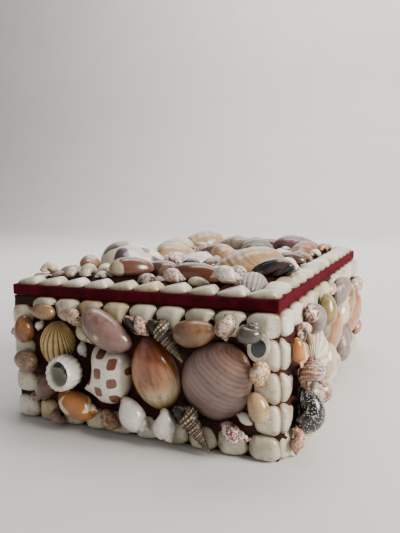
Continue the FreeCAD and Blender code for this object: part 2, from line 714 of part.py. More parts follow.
def lid_face():
    """The lid's top, laid by hand in front and in the gaps behind."""
    face = Face(BOX_WIDTH, BOX_DEPTH, Vector(-BOX_WIDTH / 2, -BOX_DEPTH / 2, BOX_HEIGHT),
                Vector(1, 0, 0), Vector(0, 1, 0))
    frame_with_clams(face, "lid_border_clams")
    lay_list(face, [
        ("lid_blotched_helmet", valve, 0.255, 0.300, 38, 31, 16, 150),
        ("lid_tan_clam", valve, 0.745, 0.315, 36, 30, 14, 20),
        ("lid_domed_clams", valve, 0.200, 0.640, 33, 28, 13, 70),
        ("lid_domed_clams", valve, 0.620, 0.690, 30, 25, 13, 110),
        ("lid_domed_clams", valve, 0.860, 0.700, 24, 20, 11, 80),
        ("lid_pale_clams", valve, 0.865, 0.500, 22, 20, 9.5, 160),
        ("lid_pale_clams", valve, 0.120, 0.130, 19, 15, 7, 170),
        ("lid_brown_cowries", egg, 0.655, 0.135, 27, 14, 0, -4),
        ("lid_ribbed_clam", valve, 0.870, 0.115, 18, 15, 6.5, 100),
        ("lid_broken_mussel", valve, 0.880, 0.235, 22, 11, 7, -20),
        ("lid_brown_cowries", egg, 0.470, 0.185, 21, 13, 0, 170),
        ("lid_netted_snails", snail, 0.500, 0.080, 13, 8, 0, 10),
        ("lid_netted_snails", snail, 0.800, 0.070, 14, 10, 0, 15),
        ("lid_netted_snails", snail, 0.285, 0.125, 14, 9, 0, 160),
        ("lid_small_snails", ball, 0.530, 0.285, 13, 12, 0, 90),
        ("lid_small_snails", snail, 0.930, 0.265, 13, 9, 0, -20),
        ("lid_small_snails", snail, 0.065, 0.085, 9, 7.5, 0, 90),
        ("lid_pale_clams", valve, 0.460, 0.400, 23, 18, 9, 30),
        ("lid_domed_clams", valve, 0.530, 0.550, 22, 17, 11, 140),
    ])
    fill_gaps(face, [("lid_domed_clams", valve, 0.84, 0.4, 23, 32),
                     ("lid_pale_clams", valve, 0.84, 0.38, 16, 26),
                     ("lid_brown_cowries", egg, 0.62, 0, 15, 24),
                     ("lid_netted_snails", snail, 0.64, 0, 11, 18),
                     ("lid_small_snails", snail, 0.68, 0, 0, 15),
                     ("lid_pale_clams", valve, 0.8, 0.4, 0, 15)], random.Random(53))


def main():
    """Make every sub-part and write one file for each."""
    carcass()
    lid()
    hinges()
    front_face()
    right_face()
    hidden_faces()
    lid_face()
    os.makedirs("parts", exist_ok=True)
    for name, solids in sorted(parts.items()):
        shape = solids[0] if len(solids) == 1 else Part.makeCompound(solids)
        shape.exportStep(os.path.join("parts", name + ".step"))
        print(name, len(solids))


main()
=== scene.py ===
# %% [markdown]
# # A trinket box covered with sea shells
# The real thing is a low wooden box with a hinged lid. Real sea shells are glued all over it, and a
# velvet ribbon runs round the lid's edge. The wood, the hinges and the plain solids of the shells
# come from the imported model. This lesson dresses them: each plain solid becomes a shell worked out
# with numpy, and each surface gets a finish made of nodes.

# %% Load the frame
import math
import bpy
import numpy as np
from mathutils import Matrix, Vector


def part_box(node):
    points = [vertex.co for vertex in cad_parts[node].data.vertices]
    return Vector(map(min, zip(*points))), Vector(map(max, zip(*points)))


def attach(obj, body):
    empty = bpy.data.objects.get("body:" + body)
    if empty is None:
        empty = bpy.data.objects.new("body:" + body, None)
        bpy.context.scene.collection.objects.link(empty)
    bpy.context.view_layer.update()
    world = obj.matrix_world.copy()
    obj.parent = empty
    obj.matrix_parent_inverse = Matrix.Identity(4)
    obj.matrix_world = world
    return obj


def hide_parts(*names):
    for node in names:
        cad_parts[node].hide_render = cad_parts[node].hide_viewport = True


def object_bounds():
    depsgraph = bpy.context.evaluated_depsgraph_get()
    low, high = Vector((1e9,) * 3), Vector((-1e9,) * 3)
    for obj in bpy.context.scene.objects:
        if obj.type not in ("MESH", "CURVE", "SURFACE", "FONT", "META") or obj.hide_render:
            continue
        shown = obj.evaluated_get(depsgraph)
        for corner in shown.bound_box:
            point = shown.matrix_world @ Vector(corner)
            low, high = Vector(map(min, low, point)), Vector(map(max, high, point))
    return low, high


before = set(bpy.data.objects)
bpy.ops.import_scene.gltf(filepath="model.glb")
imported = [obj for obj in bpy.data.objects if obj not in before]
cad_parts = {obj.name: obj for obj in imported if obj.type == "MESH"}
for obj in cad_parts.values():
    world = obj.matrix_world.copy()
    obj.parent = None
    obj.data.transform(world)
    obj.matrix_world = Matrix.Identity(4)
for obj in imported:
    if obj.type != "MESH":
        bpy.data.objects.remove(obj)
cad_box = [list(corner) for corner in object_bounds()]
print(len(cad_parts), "nodes, box", np.round(cad_box, 4).tolist())

# %% [markdown]
# ## Camera, light and floor
# The camera is settled first, because every choice of detail depends on what it sees. It stands a
# hand's breadth above the lid and a little to the right of the front, as a person leans in to look
# at a small box. A large lamp from the right lights the bright facets of the shells, a weak one from
# the left keeps the front readable, one behind draws the rim of the lid, and a fourth lights the far
# background. A pale sky fills the rest.

# %% Camera
# Place and nearest distance are in metres; the focal length and the long side are in pixels of the
# photograph, and the sensor is in millimetres.
PLACE = (0.1211, -0.2819, 0.1046)
LEFT_TURN, DIP, TILT = math.radians(24.75), math.radians(7.57), math.radians(-1.37)
FOCAL, SENSOR, LONG_SIDE = 530.0, 36.0, 533.0
NEAREST = 0.01

camera = bpy.data.objects.new("camera", bpy.data.cameras.new("camera"))
bpy.context.scene.collection.objects.link(camera)
camera.location = PLACE
forward = np.array([-math.sin(LEFT_TURN) * math.cos(DIP), math.cos(LEFT_TURN) * math.cos(DIP),
                    -math.sin(DIP)])
level = np.cross(forward, [0, 0, 1])
level /= np.linalg.norm(level)
rightward = level * math.cos(TILT) + np.cross(level, forward) * math.sin(TILT)
axes = np.stack((rightward, np.cross(rightward, forward), -forward), axis=1)
camera.rotation_mode = "QUATERNION"
camera.rotation_quaternion = Matrix(axes.tolist()).to_quaternion()
camera.data.sensor_width = SENSOR
camera.data.lens = FOCAL * SENSOR / LONG_SIDE
camera.data.clip_start = NEAREST
bpy.context.scene.camera = camera
print("lens", round(camera.data.lens, 2), "mm")


# %% Lamps and sky
SKY_COLOUR = (0.84, 0.85, 0.87, 1)
SKY_STRENGTH = 0.23


def lamp(name, place, size, power, tint, aim=(0, 0, 0.03)):
    """A square soft lamp, its side in metres and its power in watts, that looks at the box."""
    data = bpy.data.lights.new(name, "AREA")
    data.size, data.energy, data.color = size, power, tint
    item = bpy.data.objects.new(name, data)
    bpy.context.scene.collection.objects.link(item)
    item.location = place
    item.rotation_mode = "QUATERNION"
    item.rotation_quaternion = (Vector(place) - Vector(aim)).to_track_quat("Z", "Y")


lamp("window", (0.80, -0.10, 0.46), 0.40, 15.0, (1.0, 0.96, 0.91))
lamp("front_fill", (-0.45, -0.80, 0.40), 0.8, 0.9, (0.97, 0.97, 1.0))
lamp("back_rim", (-0.30, 0.60, 0.60), 0.6, 1.6, (1.0, 0.98, 0.95))
lamp("backdrop", (0.0, 0.60, 1.30), 1.2, 34.0, (1.0, 1.0, 1.0), (-0.6, 1.7, 0.3))
sky = bpy.data.worlds.new("sky")
sky.use_nodes = True
sky.node_tree.nodes["Background"].inputs["Color"].default_value = SKY_COLOUR
sky.node_tree.nodes["Background"].inputs["Strength"].default_value = SKY_STRENGTH
bpy.context.scene.world = sky
print("four lamps")


# %% [markdown]
# ## Writing finishes as sums
# A finish is a net of small nodes. Written node by node it is long and hard to read, so a number
# inside a material is wrapped in a class whose plus, minus and times add the Math nodes. Colours go
# through Mix nodes, which keep their three channels.

# %% Numbers and colours inside a material
def colour(code):
    """A colour written as on a paint card, turned into the amounts of light a renderer uses by the
    usual sRGB curve: a straight line in the darkest part and a power of 2.4 above it."""
    parts = np.array([int(code[i:i + 2], 16) for i in (1, 3, 5)]) / 255
    light = np.where(parts > 0.04045, ((parts + 0.055) / 1.055) ** 2.4, parts / 12.92)
    return tuple(light.tolist()) + (1.0,)


class Number:
    """A number that changes over a surface. Sums of numbers add Math nodes."""

    def __init__(self, finish, socket):
        self.finish = finish
        self.socket = socket

    def maths(self, operation, *values):
        """One Math node."""
        node = self.finish.node("ShaderNodeMath", {"operation": operation}, dict(enumerate(values)))
        return Number(self.finish, node.outputs[0])

    def __add__(self, other):
        return self.maths("ADD", self, other)

    def __sub__(self, other):
        return self.maths("SUBTRACT", self, other)

    def __rsub__(self, other):
        return self.maths("SUBTRACT", other, self)

    def __mul__(self, other):
        return self.maths("MULTIPLY", self, other)

    def __pow__(self, other):
        return self.maths("POWER", self, other)

    def sine(self):
        """The sine of the number."""
        return self.maths("SINE", self)

    def step(self, low, high):
        """0 below the low value, 1 above the high one, and smooth between them."""
        settings = {"interpolation_type": "SMOOTHSTEP"}
        sockets = {"Value": self, "From Min": low, "From Max": high}
        node = self.finish.node("ShaderNodeMapRange", settings, sockets)
        return Number(self.finish, node.outputs["Result"])


class Finish:
    """A material and the nodes in it."""

    def __init__(self, name, **constants):
        self.material = bpy.data.materials.new(name)
        self.material.use_nodes = True
        self.tree = self.material.node_tree
        self.shader = self.tree.nodes["Principled BSDF"]
        for socket, value in constants.items():
            self.shader.inputs[socket.replace("_", " ")].default_value = value

    def node(self, kind, settings=None, sockets=None):
        """Any node: its type, its settings, and the values or links of its sockets."""
        node = self.tree.nodes.new(kind)
        for key, value in (settings or {}).items():
            setattr(node, key, value)
        for key, value in (sockets or {}).items():
            value = value.socket if isinstance(value, Number) else value
            if isinstance(value, bpy.types.NodeSocket):
                self.tree.links.new(value, node.inputs[key])
            else:
                node.inputs[key].default_value = value
        return node

    def place(self, scale=(1, 1, 1), kind="Object"):
        """Where a point is on the piece, stretched."""
        source = self.node("ShaderNodeTexCoord").outputs[kind]
        return self.node("ShaderNodeMapping", None, {"Vector": source, "Scale": scale}).outputs[0]

    def grid(self):
        """Where a point is on the surface's own net: round the shell, and from beak to edge."""
        return self.place(kind="UV")

    def axis(self, vector, index):
        """One coordinate of a vector."""
        return Number(self, self.node("ShaderNodeSeparateXYZ", None, {0: vector}).outputs[index])

    def tint(self, name):
        """A colour kept on the mesh's points."""
        return self.node("ShaderNodeAttribute", {"attribute_name": name}).outputs["Color"]

    def noise(self, vector, scale, detail=3.0, roughness=0.55, distortion=0.0):
        """Soft noise between 0 and 1."""
        sockets = {"Vector": vector, "Scale": scale, "Detail": detail, "Roughness": roughness,
                   "Distortion": distortion}
        return Number(self, self.node("ShaderNodeTexNoise", None, sockets).outputs["Fac"])

    def cells(self, vector, scale):
        """Distance to the nearest of many scattered points."""
        node = self.node("ShaderNodeTexVoronoi", None, {"Vector": vector, "Scale": scale})
        return Number(self, node.outputs["Distance"])

    def mix(self, share, first, second, blend="MIX"):
        """Two colours mixed."""
        settings = {"data_type": "RGBA", "blend_type": blend}
        return self.node("ShaderNodeMix", settings, {0: share, 6: first, 7: second}).outputs[2]

    def set(self, socket, value):
        """Feed a socket of the shader."""
        value = value.socket if isinstance(value, Number) else value
        self.tree.links.new(value, self.shader.inputs[socket])

    def bump(self, height, depth):
        """Fine relief; depth is in metres."""
        node = self.node("ShaderNodeBump", None, {"Height": height, "Distance": depth})
        self.set("Normal", node.outputs[0])


print("finish tools ready")


# %% Floor
def floor():
    """A pale studio sweep: a profile carried from left to right that lies flat under the box and rises
    far behind it in a quarter circle."""
    finish = Finish("pale_floor", Roughness=0.8)
    cloud = finish.noise(finish.place(), 9.0)
    finish.set("Base Color", finish.mix(cloud, colour("#d6d4d0"), colour("#dfddda")))
    start, bend, wide, tall = 1.1, 0.5, 3.0, 3.0
    angle = np.linspace(0, np.pi / 2, 17)
    far = np.concatenate(([-wide], start + bend * np.sin(angle), [start + bend]))
    high = np.concatenate(([0], bend - bend * np.cos(angle), [tall]))
    left, right = (np.stack((0 * far + side, far, high), axis=1) for side in (-wide, wide))
    count = len(far)
    index = np.arange(count - 1)
    faces = np.stack((index, index + count, index + count + 1, index + 1), axis=1)
    mesh = bpy.data.meshes.new("floor")
    mesh.from_pydata(np.concatenate((left, right)).tolist(), [], faces.tolist())
    item = bpy.data.objects.new("floor", mesh)
    item.data.materials.append(finish.material)
    bpy.context.scene.collection.objects.link(item)
    print("sweep rises", start, "m behind the box")


floor()

# %% [markdown]
# ## Reading the plain solids
# A node such as the border clams holds many separate solids. Splitting the node gives one seat for
# each shell: where it lies, which way its beak or tip points, and how long, wide and high it is. A
# real shell is then modelled in its own small frame (+x to the beak or tip, z out of the wall) and
# put on its seat, so nothing has to be placed by hand a second time.

# %% Split a node into its solids
X, Y, Z = np.eye(3)
FACES = {"front": (X, Z, -Y), "right": (Y, Z, X), "back": (-X, Z, Y), "left": (-Y, Z, -X),
         "lid": (X, Y, Z)}
MICRONS = 1e6


def solids(node):
    """Triangles of each solid. Corners at one place share a label; every triangle spreads its lowest
    label to its corners until nothing changes, so each solid ends with a label of its own."""
    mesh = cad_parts[node].data
    mesh.calc_loop_triangles()
    points = np.empty((len(mesh.vertices), 3))
    mesh.vertices.foreach_get("co", points.ravel())
    corners = np.empty((len(mesh.loop_triangles), 3), dtype=np.int32)
    mesh.loop_triangles.foreach_get("vertices", corners.ravel())
    _, same = np.unique(np.round(points * MICRONS).astype(np.int64), axis=0, return_inverse=True)
    joined = same.reshape(-1)[corners]
    label = np.arange(joined.max() + 1)
    changed = True
    while changed:
        lowest = label[joined].min(axis=1)
        fresh = label.copy()
        for corner in range(3):
            np.minimum.at(fresh, joined[:, corner], lowest)
        fresh = fresh[fresh]
        changed = bool((fresh != label).any())
        label = fresh
    owner = label[joined[:, 0]]
    return [points[corners[owner == one]] for one in np.unique(owner)]


# %% Read a seat from a solid
# In metres: the height that the wall shells keep below, the lower one on the hinge side, the distance
# kept from the model's box, and the foot's tolerance. Level is how upright a top facet's normal is.
UNDER_LID = 0.0599
UNDER_HINGES = 0.0583
HAIR = 0.0001
FOOT = 1e-5
LEVEL = 0.98


class Seat:
    """Where one shell sits. Solid is wedge, valve or round, the three plain solids of the model. A
    wedge points up the slope of its top, a valve to where its bulk leans, a round one to its tip."""

    def __init__(self, face, triangles, solid):
        self.across, self.up, self.out = FACES[face]
        self.frame = np.stack(FACES[face])
        corners = triangles @ self.frame.T
        normals = np.cross(corners[:, 1] - corners[:, 0], corners[:, 2] - corners[:, 0])
        area = np.linalg.norm(normals, axis=1)
        middle = corners.mean(axis=1)
        self.base = corners[..., 2].min()
        self.high = corners[..., 2].max() - self.base
        flat = corners.reshape(-1, 3)
        mean = (middle * area[:, None]).sum(axis=0) / area.sum()
        if solid == "wedge":
            top = normals[:, 2] > LEVEL * area
            direction = -normals[top].sum(axis=0)[:2]
        elif solid == "valve":
            flat = flat[flat[:, 2] < self.base + FOOT]
            direction = mean[:2] - (flat.min(axis=0) + flat.max(axis=0))[:2] / 2
        else:
            spread = (middle[:, :2] - mean[:2]) * np.sqrt(area)[:, None]
            direction = np.linalg.svd(spread, full_matrices=False)[2][0]
            reach = flat[:, :2] @ direction
            if mean[:2] @ direction > (reach.min() + reach.max()) / 2:
                direction = -direction
        self.corners, self.area = corners, area / 2
        self.aim(direction / np.linalg.norm(direction), flat)

    def aim(self, direction, flat):
        """Set the beak's direction in the face's plan, and measure the solid along and across it."""
        side = np.array([-direction[1], direction[0]])
        spans = [flat[:, :2] @ way for way in (direction, side)]
        middle = sum((span.min() + span.max()) / 2 * way for span, way in zip(spans, (direction, side)))
        self.length, self.width = (span.max() - span.min() for span in spans)
        self.plan = middle
        self.run, self.side = (way @ self.frame[:2] for way in (direction, side))

    def turn(self, degrees):
        """Point the beak another way; for nearly round shells."""
        angle = math.radians(degrees)
        self.run = self.across * math.cos(angle) + self.up * math.sin(angle)
        self.side = np.cross(self.out, self.run)
        self.length = self.width = math.sqrt(self.length * self.width)
        return self

    def put(self, points):
        """Points of the shell's own frame, placed on the box."""
        centre = self.plan @ self.frame[:2] + self.base * self.out
        placed = centre + points @ np.stack((self.run, self.side, self.out))
        low, high = np.array(cad_box)
        if self.out[2] == 0:
            high[2] = UNDER_HINGES if self.out[0] < 0 else UNDER_LID
        return np.clip(placed, low + HAIR, high - HAIR)


# %% Seats of a node, in a fixed order
def face_span(face):
    """Lowest and highest place, across and up, that the shells of a face reach."""
    ends = np.array(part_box(face + "_border_clams")) @ np.stack(FACES[face][:2]).T
    return ends.min(axis=0), ends.max(axis=0)


def seats(node, solid):
    """One seat for each solid of a node, sorted by place, with its share of the face across and up."""
    face = node.split("_")[0]
    low, high = face_span(face)
    found = [Seat(face, triangles, solid) for triangles in solids(node)]
    found.sort(key=lambda seat: tuple(np.round(seat.plan, 4)))
    for seat in found:
        seat.share = (seat.plan - low) / (high - low)
    return found


print(len(seats("front_border_clams", "wedge")), "border clams in front")

# %% [markdown]
# ## Making surfaces
# Every shell is a net of points: rows run from the beak (or the spire's tip) to the edge, columns run
# round. The net becomes a mesh with its own map, so that growth lines and rays follow the surface,
# and with two colours on each point, so that one finish serves shells of many colours.


# %% A mesh that collects nets
class Clay:
    """Collects closed nets into one mesh."""

    def __init__(self):
        self.points, self.faces, self.map, self.hues, self.marks = [], [], [], [], []
        self.count = 0

    def add(self, points, hue, mark, ends="points", age=None):
        """Add a net of rows by columns. Columns always close round. Ends says what the first and last
        row are: single points, flat rims that need no cap, or a ring, where the last row meets the
        first. The side that faces out is found from the signed volume. Age replaces the map's second
        coordinate where growth doesn't follow the rows."""
        rows, columns = points.shape[:2]
        index = np.arange(rows * columns).reshape(rows, columns)
        if ends == "points":
            index[0] = index[0, 0]
            index[-1] = index[-1, 0]
        if ends == "ring":
            index = np.concatenate((index, index[:1]))
        index = np.concatenate((index, index[:, :1]), axis=1)
        net = np.stack(np.meshgrid(np.linspace(0, 1, columns + 1), np.linspace(0, 1, len(index))), axis=2)
        if age is not None:
            net[..., 1] = np.concatenate((age, age[:, :1]), axis=1)
        quads, places = ([grid[:-1, :-1], grid[:-1, 1:], grid[1:, 1:], grid[1:, :-1]]
                         for grid in (index, net))
        flat = points.reshape(-1, 3)
        p, q, r, s = (flat[corner.ravel()] - flat.mean(axis=0) for corner in quads)
        if (p * np.cross(q, r)).sum() + (p * np.cross(r, s)).sum() < 0:
            quads, places = quads[::-1], places[::-1]
        quads, places = np.stack(quads, axis=2), np.stack(places, axis=2)
        if ends == "points":
            for row in (0, -1):
                keep = quads[row] != np.roll(quads[row], -1, axis=1)
                self.store(quads[row][keep].reshape(-1, 3), places[row][keep])
            quads, places = quads[1:-1], places[1:-1]
        self.store(quads.reshape(-1, 4), places)
        self.points.append(flat)
        for kept, tone in ((self.hues, hue), (self.marks, mark)):
            kept.append(np.broadcast_to(np.asarray(tone, float), (rows, columns, 4)).reshape(-1, 4))
        self.count += rows * columns

    def store(self, faces, places):
        """Keep faces, numbered from the start of the whole mesh, with their places on the map."""
        self.faces.append(faces + self.count)
        self.map.append(places.reshape(-1, 2))

    def piece(self, name, finish, slot, *nodes):
        """Make the object, give it its finish, and let it stand for CAD nodes on their body."""
        body = "lid" if nodes[0].startswith("lid") else "box"
        mesh = bpy.data.meshes.new(name)
        used = np.zeros(self.count, dtype=bool)
        used[np.concatenate([block.ravel() for block in self.faces])] = True
        number = np.cumsum(used) - 1
        faces = [face for block in self.faces for face in number[block].tolist()]
        mesh.from_pydata(np.concatenate(self.points)[used].tolist(), [], faces)
        mesh.uv_layers.new(name="net").data.foreach_set("uv", np.concatenate(self.map).ravel())
        for title, kept in (("hue", self.hues), ("mark", self.marks)):
            layer = mesh.attributes.new(title, "FLOAT_COLOR", "POINT")
            layer.data.foreach_set("color", np.concatenate(kept)[used].ravel())
        mesh.polygons.foreach_set("use_smooth", np.ones(len(mesh.polygons), dtype=bool))
        mesh.update()
        item = bpy.data.objects.new(name, mesh)
        item.data.materials.append(finish.material)
        bpy.context.scene.collection.objects.link(item)
        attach(item, body)
        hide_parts(*nodes)
        print(name, len(faces), "faces")
        return item


# %% [markdown]
# ## Forms of shell
# Six forms cover the box. A valve is half of a clam, cockle or scallop: it grows by adding to its
# edge, so every older edge is a smaller copy of the present one, pulled towards the beak. A wedge is
# the small clam of the borders, with a fold near its cut-off end. An egg is a cowrie. A snail is a
# tube that winds round an axis while it grows. A cup is a shell seen into its mouth, and a pebble is a
# dome over a drawn outline.

# %% Sizes that all forms share
# How far a valve's top leans to its beak, as a share of its half length; how deep an edge is sunk in
# the glue, in metres; where a round shell's axis divides its height; how uneven a valve is; how the
# wedge's outline squares a circle; how sharp its crease is; how far an edge is drawn in below.
LEAN = 0.35
SINK = 0.0009
AXIS = 0.4
UNEVEN = 0.005
SQUARISH = 0.62
CREASE = 26
INSET = 0.97


def circle(columns):
    """The angles of a net's columns."""
    return (2 * np.pi * np.arange(columns) / columns)[None, :]


def closed(top, inset, sink):
    """A net with two more rows that close it below: its edge, drawn in and sunk, then one point."""
    below = top[-1:] * [inset, inset, 0] - [0, 0, sink]
    return np.concatenate((top, below, below * [0.0, 0.0, 1.0]))


def wobble(rng, *grids, terms=4):
    """Slow random waves over a net, about -1 to 1: a sum of sines with random pitch and phase."""
    total = 0.0
    for _ in range(terms):
        total = total + np.sin(sum(rng.integers(1, 4) * grid for grid in grids) + rng.uniform(0, 6.3))
    return total / terms


# %% Valve
def valve(seat, rng, rows=26, columns=44, beak=32, taper=0.25, ribs=0, rib=0.0, rings=0, ring=0.0,
          ragged=0.0, sharp=0.7, grow=1.05, twist=0.0):
    """Half a two-part shell. A direction slides on the unit ball from the beak to the edge as growth
    goes from 0 to 1; stretched by the half length, half width and height, and leaned to the beak, it
    is the shell's surface. Ribs are waves round the edge and rings are waves in growth, both along the
    outward direction. Twist turns the beak aside. The last rows close the shell below its edge."""
    growth = np.linspace(0, 1, rows)[:, None]
    around = circle(columns)
    height = math.radians(beak)
    peak = np.array([math.cos(height), 0, math.sin(height)])
    edge = np.stack((np.cos(around), np.sin(around), 0 * around), axis=2)
    angle = np.arccos(edge @ peak)
    fore, aft = np.sin((1 - growth) * angle) / np.sin(angle), np.sin(growth * angle) / np.sin(angle)
    ball = fore[..., None] * peak + aft[..., None] * edge
    far = 0.5 - 0.5 * np.cos(around)
    relief = UNEVEN * wobble(rng, around, 2 * growth)
    if ribs:
        crest = 2 * np.abs(np.cos(ribs * around / 2)) ** sharp - 1
        relief = relief + rib * crest * growth ** 0.7 * np.clip(6 * far - 0.4, 0, 1)
    if rings:
        phase = 2 * np.pi * rings * growth + 1.6 * wobble(rng, 5 * growth)
        relief = relief + ring * np.sin(phase) * (0.3 + 0.7 * far) * growth
    if ragged:
        notch = wobble(rng, around, terms=3) + 0.6 * wobble(rng, 5 * around)
        notch = np.clip(notch + 0.4 * wobble(rng, 11 * around), 0, 1)
        ball[..., :2] *= (1 - ragged * notch * growth ** 2)[..., None]
    half = np.array([seat.length * grow, seat.width * grow, 2 * seat.high]) / 2 * (1 - max(rib, ring) * 0.8)
    outward = ball / half
    outward /= np.linalg.norm(outward, axis=2)[..., None]
    narrow = 1 - taper * ((1 + ball[..., 0]) / 2) ** 2
    top = ball * half + outward * (relief * seat.width)[..., None]
    top[..., 0] += LEAN * half[0] * ball[..., 2]
    top[..., 1] = top[..., 1] * narrow + twist * half[1] * (1 - growth) ** 2
    top[-1, :, 2] = np.minimum(top[-1, :, 2], 0)
    return closed(top, INSET, SINK)


# %% Wedge clam of the borders
def wedge(seat, rng, rows=11, columns=36, rise=(0.78, 0.88), fold=(0.30, 0.44), drop=(0.6, 0.85),
          grow=1.17, mirror=False):
    """A rounded trapezium drawn towards its middle. Its height is a dome times the lower of two
    planes: one rises gently to the fold, the other drops steeply behind it."""
    reach = (np.linspace(0, 1, rows) ** 0.8)[:, None]
    around = circle(columns)
    x, y = (np.sign(wave) * np.abs(wave) ** SQUARISH for wave in (np.cos(around), np.sin(around)))
    low = (1 - y) / 2
    fore, aft = rng.uniform(0.16, 0.3) * low ** 1.5, rng.uniform(0.04, 0.12) * low
    x = np.where(x < 0, x * (1 - fore), x * (1 - aft))
    y = y * (1 - 0.14 * np.clip(-x, 0, 1) ** 2)
    x, y = x * reach, y * reach
    fold = rng.uniform(*fold) + rng.uniform(0.05, 0.2) * y
    rise = rng.uniform(*rise)
    front = rise + (1 - rise) * (x + 1) / (1 + fold)
    behind = 1 - rng.uniform(*drop) * (x - fold) / (1 - fold)
    crease = -np.log(np.exp(-CREASE * front) + np.exp(-CREASE * behind)) / CREASE
    dome = (1 - reach ** 4.2) ** (1 / 2.2)
    high = seat.high * (crease * dome + 0.010 * wobble(rng, 3 * x, 3 * y))
    slant = rng.uniform(-0.05, 0.05)
    across = (-x if mirror else x) * seat.length / 2 * grow
    top = np.stack((across, (y + slant * x) * seat.width / 2 * grow * 0.98, np.maximum(high, 0)), axis=2)
    top[-1, :, 2] = 0
    return closed(top, 0.96, SINK * 0.6)


# %% Cowrie or egg
def upright(seat, points, grow):
    """Fit a round form, whose unit is its own half size, to its seat: the upper half keeps its height,
    the lower half is pressed flat on the glue."""
    half = np.array([seat.length, seat.width, seat.width]) / 2 * grow
    points = points * half
    axis = seat.high * AXIS / (1 + AXIS)
    above = points[..., 2] * (seat.high - axis) / half[2]
    below = points[..., 2] * (axis + SINK) / half[2]
    points[..., 2] = axis + np.where(points[..., 2] > 0, above, below)
    return points


def egg(seat, rng, rows=22, columns=28, taper=0.30, bend=0.0, full=2.1, grow=1.06):
    """A round section carried along an axis. Its radius is a swollen circle of the place along the
    axis, a little less towards the tip, and the axis may bend like a bean's."""
    around = circle(columns)
    along = -np.cos(np.linspace(0, np.pi, rows))[:, None]
    radius = (1 - np.abs(along) ** full) ** (1 / full) * (1 - taper * (1 + along) / 2)
    radius = radius / radius.max()
    lumps = 1 + 0.012 * wobble(rng, around, 2 * along)
    x = along + 0 * around
    y = radius * np.cos(around) * lumps + bend * (2 * along ** 2 - 1)
    z = radius * np.sin(around) * lumps
    y = y / np.abs(y).max()
    return upright(seat, np.stack((x, y, z), axis=2), grow)


# %% Snail
# The lip's width in turns, and the mouth's depth as a share of the last turn's size.
LIP_WIDTH = 0.05
MOUTH_DEPTH = 0.45


def snail(seat, rng, whorls=4.0, growth=1.9, drop=0.32, steps=16, columns=16, cords=0, cord=0.0,
          beads=0, bead=0.0, mouth=0.0, lip=0.08, wall=0.84, plug=False, core=0.5, grow=1.06):
    """A tube round an axis. At a turn counted back from the mouth its size is growth to the power of
    minus that turn; the section is an oval that touches the axis. Cords are waves round the tube and
    beads are waves along it. The mouth ends in a lip and a hollow, or in a plug if the animal closed
    it. Mouth is the angle, in half turns, at which the tube ends; 1 shows the mouth."""
    turns = np.linspace(-whorls, 0, int(whorls * steps) + 1)[:, None]
    size = growth ** turns
    around = circle(columns)
    swell = 1 + cord * np.cos(cords * around) + bead * np.cos(2 * np.pi * beads * turns)
    swell = swell + lip * np.exp(-(turns / LIP_WIDTH) ** 2)
    distance = size * (core + (1 - core) * np.sin(around) * swell)
    depth = size * ((1 - drop) + drop * np.cos(around) * swell)
    angle = mouth * np.pi - 2 * np.pi * turns
    tube = np.stack((-depth, distance * np.cos(angle), distance * np.sin(angle)), axis=2)
    middle = tube[-1:].mean(axis=1, keepdims=True)
    back = np.array([0, math.sin(mouth * np.pi), -math.cos(mouth * np.pi)]) * -MOUTH_DEPTH
    rim = middle + (tube[-1:] - middle) * wall
    inside, bottom = (0.05, -0.03) if plug else (0.35, 0.6)
    inner = middle + (tube[-1:] - middle) * (wall * 0.92) - inside * back
    end = np.broadcast_to(middle - bottom * back, rim.shape)
    points = np.concatenate((tube, rim, inner, end))
    low, high = tube.min(axis=(0, 1)), tube.max(axis=(0, 1))
    points = (points - (low + high) / 2) * 2 / (high - low)
    return upright(seat, points, grow)


# %% Cup: a shell seen into its mouth
# The place of the rim along the section, and the section's radius and height as shares.
CUP_RIM = 0.58
CUP_SECTION = ((0.0, 0.0), (0.55, 0.0), (0.90, 0.0), (0.98, 0.18), (1.0, 0.42), (0.97, 0.68), (0.90, 0.90),
               (0.80, 1.0), (0.70, 0.98), (0.64, 0.84), (0.58, 0.62), (0.46, 0.42), (0.26, 0.32), (0.0, 0.3))


def cup(seat, rng, columns=64, flutes=17, flute=0.035, aside=0.16):
    """A ring wall with a hollow, set off the middle. The section, from the foot up the outside, over
    the rim and down into the mouth, is turned round, with flutes on the outside."""
    fine = np.linspace(0, 1, 40)
    coarse = np.linspace(0, 1, len(CUP_SECTION))
    radius, high = (np.interp(fine, coarse, column)[:, None] for column in np.array(CUP_SECTION).T)
    around = circle(columns)
    outer = np.clip((CUP_RIM - fine) * 12, 0, 1)[:, None]
    radius = radius * (1 + flute * outer * np.cos(flutes * around) + 0.02 * wobble(rng, around))
    inner = 1 - outer
    x = radius * np.cos(around)
    y = radius * np.sin(around) - aside * inner
    slope = high * (1 - 0.10 * np.cos(around))
    return np.stack((x * seat.length / 2, y * seat.width / 2, slope / 1.1 * seat.high), axis=2)


# %% Pebble: a dome over a drawn outline
def pebble(seat, rng, outline, rows=22, columns=72, full=2.4, height=1.0):
    """A smooth closed curve through a few points, across and up from the seat's middle as shares of
    its length, drawn towards the middle under a dome. The curve is a sum of the few lowest circular
    waves that pass through the points, so it has no corners of its own."""
    count = len(outline)
    waves = np.fft.fft(outline[:, 0] + 1j * outline[:, 1]) / count
    pitch = np.fft.fftfreq(count, 1 / count)
    around = circle(columns)[0]
    curve = (waves * np.exp(1j * np.outer(around, pitch))).sum(axis=1)
    reach = np.linspace(0, 1, rows)[:, None]
    dome = (1 - reach ** full) ** (1 / full) * seat.high * height
    plan = np.stack((curve.real, curve.imag), axis=1)[None] * reach[..., None] * seat.length
    across = plan[..., 0:1] * seat.across + plan[..., 1:2] * seat.up
    local = np.stack((across @ seat.run, across @ seat.side, dome + 0 * plan[..., 0]), axis=2)
    return closed(local, INSET, SINK)


print("six forms ready")

